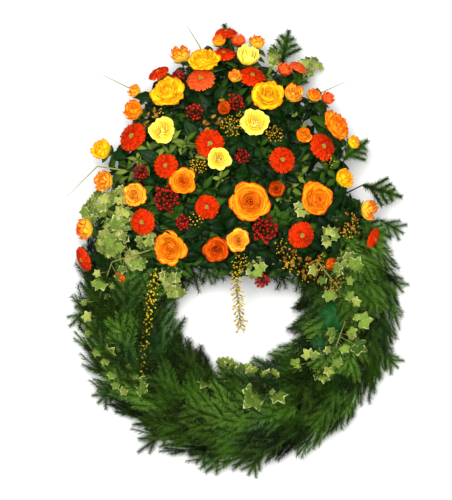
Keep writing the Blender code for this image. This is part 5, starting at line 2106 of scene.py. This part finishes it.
@dataclass
class DarkLeaves:
    """Pointed glossy leaves low between the heads, whose stalks meet on one stem.

    Attributes:
        blade: the outline of a leaf.
    """

    blade: Blade = field(default_factory=Blade)

    def build(self) -> bpy.types.Object:
        """Makes each leaf where the solid has it."""
        solid = Solid("dark_leaves")
        piece = Piece("dark_leaves")
        above = seen_at(*FOAM_PIXEL, FOAM_TOP + 50 * MM)
        foot = foam_foot(above)
        fork = foot.lerp(above, 0.68)
        piece.add_tube([foot, fork], [STEM_RADIUS] * 2, STEM)
        draw = random.Random(5)
        for across, down, length in DARK_LEAVES:
            place, facing = mound_at(across, down)
            at = solid.hub(place - facing * 16 * MM, 8, 60 * MM)
            ahead = (at - fork).normalized()
            size = length * PIXEL * 0.97
            turn = leaf_frame(at - ahead * 0.48 * size, ahead, facing)
            piece.add_sheet(self.blade.grid(size), 0.8 * MM, DARK_LEAF, draw.random(), turn)
            base = at - ahead * 0.48 * size
            piece.add_tube([fork, base + ahead * 3 * MM], [1.3 * MM, 0.9 * MM], STEM, 4)
        return piece.finished("dark_leaf", "dark_leaves")


@dataclass
class MoundGreenery:
    """Leafy twigs that fill the mound between the heads and hide the foam.

    Attributes:
        twigs: how many twigs there are.
        layers: how deep the layers of twigs lie under the heads, in turn.
        leaves: how many leaves a twig has.
        length: how long a leaf is.
        leafy: how long the end of a twig is that carries leaves.
        inset: how much wider than its own place a twig is taken to be at the mound's edge.
        bare: how much of a head's radius twigs keep clear of.
        thickness: how thick a leaf is.
        collar_leaves: how many leaves stand on a head's own stem.
    """

    twigs: int = 330
    layers: tuple[float, ...] = (16 * MM, 30 * MM, 46 * MM)
    leaves: int = 8
    length: float = 40 * MM
    leafy: float = 34 * MM
    inset: float = 1.05
    bare: float = 0.7
    thickness: float = 0.6 * MM
    collar_leaves: int = 10

    def collar(
        self, piece: Piece, head: tuple[Vector, Vector, float], draw: random.Random
    ) -> None:
        """Sets leaves on a head's own stem, so that green shows all round it.

        Args:
            piece: what they are added to.
            head: where it stands, where it looks and its radius.
            draw: the mound's own random numbers.
        """
        place, facing, radius = head
        for k in range(self.collar_leaves):
            flat = off_stem(facing, k * GOLDEN + draw.uniform(-0.4, 0.4))
            at = place - facing * (10 + 5 * k) * MM
            away = (flat - facing * draw.uniform(0.0, 0.5)).normalized()
            normal = (facing + 0.5 * UP + flat * draw.uniform(-0.2, 0.3)).normalized()
            size = radius + draw.uniform(8, 20) * MM
            turn = leaf_frame(at, away, normal)
            finish = MID_LEAF if k % 3 == 0 else DARK_LEAF
            blade = BROAD_LEAF.grid(size)
            piece.add_sheet(blade, self.thickness, finish, draw.random(), turn)

    def foliage(
        self,
        piece: Piece,
        number: int,
        stem: tuple[Vector, Vector, Vector],
        heads: list[tuple[Vector, Vector, float]],
        draw: random.Random,
    ) -> None:
        """Sets the leaves round the end of a twig, but for those that a head would cover.

        Args:
            piece: what they are added to.
            number: which twig it is.
            stem: the twig's tip, the way that it grows and the way that the mound faces.
            heads: where the heads stand and look and their radii.
            draw: the mound's own random numbers.
        """
        tip, ahead, facing = stem
        finish, blade, grown = TWIG_KINDS[number % len(TWIG_KINDS)]
        for k in range(self.leaves):
            at = tip - ahead * self.leafy * (k / self.leaves)
            flat = off_stem(facing, k * GOLDEN + draw.uniform(-0.3, 0.3))
            away = (flat + facing * draw.uniform(-0.1, 0.5)).normalized()
            normal = (facing + 0.7 * UP - away * draw.uniform(0.0, 0.4)).normalized()
            size = self.length * grown * draw.uniform(0.65, 1.2)
            if any((at + away * 0.6 * size - p).length < self.bare * r for p, _, r in heads):
                continue
            turn = leaf_frame(at, away, normal)
            piece.add_sheet(blade.grid(size), self.thickness, finish, draw.random(), turn)

    def build(self, heads: list[tuple[Vector, Vector, float]]) -> list[bpy.types.Object]:
        """Spreads the twigs evenly over the mound, each out of the foam.

        Args:
            heads: where the heads stand and look and their radii.
        Returns:
            The pieces, one for each quarter of the mound.
        """
        draw = random.Random(21)
        quarters = [Piece(f"mound_greenery_{k + 1}") for k in range(4)]
        for k, share, angle in spiral(self.twigs):
            share *= 0.99
            reach = MOUND_UP if math.sin(angle) > 0 else 0.84 * MOUND_DOWN
            across = POLE[0] + MOUND_ACROSS * share * math.cos(angle)
            down = POLE[1] - reach * share * math.sin(angle)
            place, facing = mound_at(across, down)
            deep = self.layers[k % len(self.layers)] * draw.uniform(0.8, 1.2)
            tip = place - facing * deep
            wide = (across - POLE[0]) * self.inset, (down - POLE[1]) * self.inset
            if not within(POLE[0] + wide[0], POLE[1] + wide[1], MOUND_EDGE):
                continue
            foot = foam_foot(place)
            side = facing.cross(tip - foot).normalized()
            knee = 0.45 * foot + 0.55 * (tip - facing * 0.3 * (tip - foot).length)
            knee += side * draw.uniform(-14, 14) * MM
            quarter = 2 * int(math.sin(angle) > 0) + int(math.cos(angle) > 0)
            piece = quarters[quarter]
            piece.add_tube([foot, knee, tip], [1.6 * MM, 1.3 * MM, 0.8 * MM], STEM, 3)
            self.foliage(piece, k, (tip, (tip - knee).normalized(), facing), heads, draw)
        for head in heads:
            piece = quarters[2 * int(head[0].y > 0.1) + int(head[0].x > 0)]
            self.collar(piece, head, draw)
        return [piece.finished("dark_leaf", "dark_leaves") for piece in quarters]


LOBES = (
    (0, 1.0), (14, 0.80), (30, 0.62), (44, 0.74), (57, 0.92), (68, 0.78), (86, 0.60),
    (104, 0.66), (118, 0.70), (132, 0.56), (152, 0.36),
)
SOFT_LOBES = (
    (0, 1.0), (16, 0.74), (34, 0.66), (52, 0.90), (68, 0.66), (90, 0.60), (114, 0.78),
    (140, 0.46),
)


def add_lobed_leaf(
    piece: Piece,
    turn: Matrix,
    width: float,
    finish: Finish,
    draw: random.Random,
    lobes: tuple[tuple[float, float], ...] = LOBES,
) -> None:
    """Adds one lobed leaf: a fan of points round a raised middle, closed below.

    Args:
        piece: what it is added to.
        turn: its frame, with X to its tip and Z out of its face.
        width: how wide it is.
        finish: its material.
        draw: the run's own random numbers.
        lobes: the outline from the tip round one side: degrees and share of the reach.
    """
    half = [(math.radians(a), s * 0.62 * width) for a, s in lobes]
    outline = half + [(math.radians(180), 0.14 * width)]
    outline += [(-a, s) for a, s in reversed(half[1:])]
    count = len(outline)
    droop = draw.uniform(0.0, 0.30)
    fold = draw.uniform(-0.10, 0.35)
    upper = [(0.0, 0.0, 0.07 * width)]
    spots = [(0.5, 0.5)]
    for share in (0.5, 1.0):
        for angle, reach in outline:
            off = reach * share
            height = 0.07 * width - droop * width * (off / (0.62 * width)) ** 2
            height += fold * abs(off * math.sin(angle))
            height += 0.05 * width * math.cos(angle * 5 + width * 900) * share
            upper.append((off * math.cos(angle), off * math.sin(angle), height))
            spots.append((0.5 + 0.5 * share, 0.5 + 0.5 * math.cos(angle) * share))
    points = np.array(upper)
    low = points - np.array([0, 0, 0.8 * MM])
    total = len(points)
    faces = []
    for i in range(count):
        j = (i + 1) % count
        a, b, c, d = 1 + i, 1 + j, 1 + i + count, 1 + j + count
        faces.append((0, a, b))
        faces.append((total, total + b, total + a))
        faces.append((a, c, d, b))
        faces.append((total + a, total + b, total + d, total + c))
        faces.append((d, c, total + c, total + d))
    both = np.concatenate([points, low])
    spin = np.array(turn)
    both = both @ spin[:3, :3].T + spin[:3, 3]
    piece.add(both, faces, finish, np.array(spots + spots), draw.random())


def patch_at(
    across: float, down: float, spread: float, lift: float, lean: float, raised: float = 0.0
) -> tuple[Vector, Vector, Matrix, float]:
    """Finds a patch of small leaves or seeds between the heads.

    Args:
        across: pixels from the left.
        down: pixels from the top.
        spread: its radius in pixels.
        lift: metres over the fir mat.
        lean: how much more it looks up than the mound does there.
        raised: metres that it stands over that place.
    Returns:
        Its middle, where it looks, its frame and its radius in metres.
    """
    place = over_all(across, down, lift) + raised * UP
    look = (mound_at(across, down)[1] + lean * UP).normalized()
    return place, look, turned_to(place, look), width_at(place, spread)


@dataclass
class PaleClusters:
    """Clusters of pale ruffled leaves low on the mound's sides.

    Attributes:
        width: how wide a leaf is.
        crowd: how many leaves stand for one of the table's.
    """

    width: float = 27 * MM
    crowd: float = 1.35

    def build(self) -> bpy.types.Object:
        """Sets each cluster's leaves in a spiral over a low dome, on stalks from its middle."""
        draw = random.Random(41)
        piece = Piece("pale_clusters")
        for across, down, spread, base in PALE_CLUSTERS:
            patch = patch_at(across, down, spread, 26 * MM, 1.2, 4 * MM)
            place, look, frame_of, reach = patch
            root = place - look * 36 * MM
            count = int(base * self.crowd)
            for k, share, angle in spiral(count):
                angle += draw.uniform(-0.3, 0.3)
                flat = Vector((math.cos(angle), math.sin(angle), 0))
                low = 0.45 * reach * share**2 + draw.uniform(0, 12) * MM
                at = frame_of @ (flat * reach * share - Vector((0, 0, low)))
                away = frame_of.to_3x3() @ (flat + Vector((0, 0, draw.uniform(-0.7, 0.5))))
                normal = (look + away * draw.uniform(-0.2, 0.9) + UP * 0.3).normalized()
                size = self.width * draw.uniform(0.6, 1.15)
                turn = leaf_frame(at, away.normalized(), normal)
                finish = IVY_LEAF if k % 3 == 2 else PALE_LEAF
                add_lobed_leaf(piece, turn, size, finish, draw, SOFT_LOBES)
                piece.add_tube([root, at - normal * 1 * MM], [0.8 * MM, 0.6 * MM], STEM, 3)
        return piece.finished("ivy_leaf")


@dataclass
class GoldSeeds:
    """Open sprays of small gold seeds between the heads.

    Attributes:
        radius: a seed's radius.
        stalk: the radius of its stalk.
    """

    radius: float = 1.9 * MM
    stalk: float = 0.4 * MM

    def build(self, growth: BeadGrowth) -> bpy.types.Object:
        """Sets the seeds on thin stalks that fan out of one point under the heads."""
        draw = random.Random(51)
        strands = Strands()
        for across, down, spread, count in GOLD_SEEDS:
            place, look, frame_of, reach = patch_at(across, down, spread, 20 * MM, 0.5)
            root = place - look * 34 * MM
            for _, share, angle in spiral(count):
                angle += draw.uniform(-0.4, 0.4)
                flat = Vector((math.cos(angle), math.sin(angle), 0)) * reach * share
                at = frame_of @ (flat + Vector((0, 0, draw.uniform(-14, 8) * MM)))
                strands.add_line([root, at], look)
                strands.add_bead(at, (at - root).normalized(), draw.uniform(0.7, 1.25))
        sizes = {"bead_radius": self.radius, "stalk_radius": self.stalk}
        finishes = {"skin": GOLD_SEED, "stalk": STEM}
        obj = growth.grown("gold_seeds", strands, segments=5, rings=3, **sizes, **finishes)
        return settle(obj, "seed_yellow")


@dataclass
class BronzeBracts:
    """Small bronze leaves in loose tufts between the heads.

    Attributes:
        length: how long a bract is.
        blade: its outline.
    """

    length: float = 15 * MM
    blade: Blade = field(
        default_factory=lambda: Blade(halves=(0.05, 0.26, 0.24, 0.02), cols=3, fold=0.1)
    )

    def build(self) -> bpy.types.Object:
        """Sets the bracts of each tuft round its middle, tips outwards."""
        draw = random.Random(61)
        piece = Piece("bronze_bracts")
        for across, down, spread, count in BRONZE_BRACTS:
            place, look, frame_of, reach = patch_at(across, down, spread, 16 * MM, 0.8)
            for _, share, angle in spiral(count):
                flat = Vector((math.cos(angle), math.sin(angle), 0))
                at = frame_of @ (flat * reach * share - Vector((0, 0, draw.uniform(0, 12) * MM)))
                spun = Vector((math.cos(7 * angle), math.sin(7 * angle), draw.uniform(-0.3, 0.9)))
                away = frame_of.to_3x3() @ (flat + spun)
                turn = leaf_frame(at, away.normalized(), look)
                size = self.length * draw.uniform(0.7, 1.2)
                piece.add_sheet(self.blade.grid(size), 0.6 * MM, BRACT, draw.random(), turn)
                root = place - look * 30 * MM
                piece.add_tube([root, at], [0.7 * MM, 0.5 * MM], STEM, 3)
        return piece.finished("dark_leaf")


@dataclass
class Ivy:
    """A run of variegated ivy: a pale vine with lobed leaves on thin stalks.

    Attributes:
        name: the node that it stands for.
        extra: how many smaller leaves stand between the large ones.
        young: how wide the smaller leaves are.
    """

    name: str
    extra: int = 26
    young: tuple[float, float] = (18 * MM, 32 * MM)

    def build(self) -> bpy.types.Object:
        """Lays the vine over the fir and sets its leaves where the solid has them."""
        vine, leaves = IVY[self.name]
        draw = random.Random(vine[0][0])
        solid = Solid(self.name)
        piece = Piece(self.name)
        route = [over_all(across, down, OVER_FIR) for across, down in vine]
        joints = route[1:-1] + [0.5 * (a + b) for a, b in zip(route, route[1:])]
        piece.add_tube(route, [1.6 * MM] * len(route), VINE)
        for across, down, width in leaves:
            expected = over_all(across, down, OVER_FIR + 8 * MM)
            place = solid.hub(expected, 9, 40 * MM)
            place.z = max(place.z, expected.z)
            root = min(joints, key=lambda p: (p - place).length)
            ahead = (place - root).normalized()
            size = width_at(place, width)
            lean = Vector((draw.uniform(-0.45, 0.45), draw.uniform(-0.45, 0.45), 1.0))
            turn = leaf_frame(place + 6 * MM * UP, ahead, lean.normalized())
            finish = DEEP_LEAF if (across, down) in DARK_IVY else IVY_LEAF
            add_lobed_leaf(piece, turn, size, finish, draw)
            stalk = [root, place - ahead * 0.1 * size + 5 * MM * UP]
            piece.add_tube(stalk, [0.9 * MM, 0.8 * MM], VINE, 4)
        for k in range(self.extra):
            root, line = along_route(route, (k + 0.5) / self.extra)
            aside = Vector((-line.y, line.x, 0)) * (1 if k % 2 else -1)
            away = (aside + line * draw.uniform(-0.1, 0.8) + UP * 0.4).normalized()
            size = draw.uniform(*self.young)
            place = root + away * draw.uniform(16, 34) * MM + draw.uniform(4, 14) * MM * UP
            if any((place - over_all(*spot, OVER_FIR)).length < 40 * MM for spot in DARK_IVY):
                continue
            lean = Vector((draw.uniform(-0.6, 0.6), draw.uniform(-0.6, 0.6), 1.0))
            turn = leaf_frame(place, away, lean.normalized())
            add_lobed_leaf(piece, turn, size, PALE_LEAF if k % 3 == 0 else IVY_LEAF, draw)
            piece.add_tube([root, place - away * 0.1 * size], [0.8 * MM, 0.7 * MM], VINE, 4)
        return piece.finished("ivy_leaf", self.name)


@dataclass
class GrassBlades:
    """Long thin blades that arch out of the mound.

    Attributes:
        width: how wide a blade is at its middle.
    """

    width: float = 3.2 * MM

    def build(self) -> bpy.types.Object:
        """Bends each blade from the foam up to where the solid's blade ends."""
        solid = Solid("grass_blades")
        piece = Piece("grass_blades")
        above = seen_at(*GRASS_FORK, FOAM_TOP + 50 * MM)
        foot = foam_foot(above)
        fork = foot.lerp(above, 0.85)
        piece.add_tube([foot, fork], [STEM_RADIUS] * 2, STEM)
        for start, end in GRASS:
            far = solid.nearest(mound_at(*end)[0])
            near = solid.nearest(mound_at(*start)[0])
            knee = solid.nearest(0.5 * (fork + near))
            stops = [fork, knee, near, far]
            rows = 13
            share = np.linspace(0, len(stops) - 1, rows)
            line = np.array([self.smooth(stops, s) for s in share])
            ahead = np.gradient(line, axis=0)
            side = np.cross(ahead, np.array([0, 0, 1.0]))
            side /= np.maximum(np.linalg.norm(side, axis=1, keepdims=True), 1e-9)
            taper = np.clip(1.15 - (share / share[-1]) ** 3, 0.12, 1.0)[:, None]
            half = 0.5 * self.width * taper * side
            middle = line - np.array([0, 0, 0.4 * MM])
            grid = np.stack([line - half, middle, line + half], axis=1)
            piece.add_sheet(grid, 0.6 * MM, GRASS_LEAF, 0.6)
        return piece.finished("grass_blade", "grass_blades")

    def smooth(self, stops: list[Vector], share: float) -> tuple[float, ...]:
        """Finds a point on a line through stops, with its corners eased."""
        leg = min(int(share), len(stops) - 2)
        part = share - leg
        eased = part * part * (3 - 2 * part) * 0.35 + part * 0.65
        return tuple(stops[leg].lerp(stops[leg + 1], eased))


@dataclass
class Studio:
    """The pale floor, the soft light and the camera straight above.

    Attributes:
        floor: the colour of the floor.
        reach: how far the floor runs to each side.
        key: the strength of the key light in watts.
        fill: the strength of the fill light in watts.
        sky: the strength of the light from all sides.
    """

    floor: str = "#f7f7f5"
    reach: float = 6.0
    key: float = 130.0
    fill: float = 18.0
    sky: float = 0.42

    def build(self) -> None:
        """Sets the floor, the lights, the sky and the camera."""
        scene = bpy.context.scene
        scene.view_settings.view_transform = "Standard"
        mesh = bpy.data.meshes.new("studio_floor")
        far = self.reach
        corners = [(-far, -far, 0), (far, -far, 0), (far, far, 0), (-far, far, 0)]
        mesh.from_pydata(corners, [], [(0, 1, 2, 3)])
        floor = bpy.data.objects.new("studio_floor", mesh)
        floor.location.z = -1 * MM
        scene.collection.objects.link(floor)
        paper = bpy.data.materials.new("white_paper")
        paper.use_nodes = True
        shader = paper.node_tree.nodes["Principled BSDF"]
        feed(shader, {"Base Color": linear(self.floor), "Roughness": 0.9})
        mesh.materials.append(paper)
        world = bpy.data.worlds.new("studio_sky")
        world.use_nodes = True
        sky = world.node_tree.nodes["Background"]
        feed(sky, {"Color": (1, 1, 1, 1), "Strength": self.sky})
        scene.world = world
        self.lamp("key_light", Vector((-0.18, 0.35, 3.5)), 1.2, self.key)
        self.lamp("fill_light", Vector((0.5, -1.2, 3.0)), 1.8, self.fill)
        self.camera()

    def lamp(self, name: str, place: Vector, size: float, power: float) -> None:
        """Adds a soft light that looks at the wreath."""
        light = bpy.data.lights.new(name, "AREA")
        light.shape = "DISK"
        light.size = size
        light.energy = power
        obj = bpy.data.objects.new(name, light)
        obj.location = place
        obj.rotation_euler = (Vector((0, 0, 0.1)) - place).to_track_quat("-Z", "Y").to_euler()
        bpy.context.scene.collection.objects.link(obj)

    def camera(self) -> None:
        """Hangs the camera over the photograph's middle, at the height that it was taken from."""
        view = bpy.data.cameras.new("camera")
        view.sensor_fit = "AUTO"
        view.sensor_width = SENSOR
        across = PHOTO_SIZE[1] * PIXEL
        view.lens = SENSOR * (VIEW_HEIGHT - PIXEL_HEIGHT) / across
        view.clip_end = 50
        obj = bpy.data.objects.new("camera", view)
        obj.location = seen_at(*PHOTO_MIDDLE, VIEW_HEIGHT)
        bpy.context.scene.collection.objects.link(obj)
        bpy.context.scene.camera = obj


def head_places() -> list[tuple[Vector, Vector, float]]:
    """Lists where the heads stand and look and their radii, for the leaves round them."""
    places = []
    for name, (across, down, width, _) in (GERBERAS | ROSES).items():
        place, facing, radius = head_at(across, down, width)
        height = GERBERA_HEIGHT if name in GERBERAS else ROSE_HEIGHT * radius
        places.append((Solid(name).head(place, facing, radius, height), facing, radius))
    for spray in SPRAYS.values():
        places.extend(head_at(across, down, width) for across, down, width, _ in spray)
    return places


def main() -> None:
    """Builds every piece in order."""
    Studio().build()
    StrawRing().build()
    FoamBlock().build()
    needles = NeedleGrowth()
    beads = BeadGrowth()
    FirShadeSheet().build()
    for number in range(1, FIR_SECTORS + 1):
        FirBundle(number).build(needles)
    FirTufts().build(needles)
    for name in SPRIGS:
        FirSprigs(name).build(needles)
    for name in GERBERAS:
        Gerbera(name).build(beads)
    for name in ROSES:
        Rose(name).build()
    for name in SPRAYS:
        SprayRoses(name).build()
    for name in BERRY_BUNCHES:
        Berries(name).build(beads)
    for name in SEED_SPRAYS:
        SeedSpray(name).build(beads)
    for name in IVY:
        Ivy(name).build()
    DarkLeaves().build()
    GrassBlades().build()
    MoundGreenery().build(head_places())
    PaleClusters().build()
    GoldSeeds().build(beads)
    BronzeBracts().build()


if __name__ == "__main__":
    logging.basicConfig(level=logging.INFO, format="%(name)s: %(message)s")
    main()
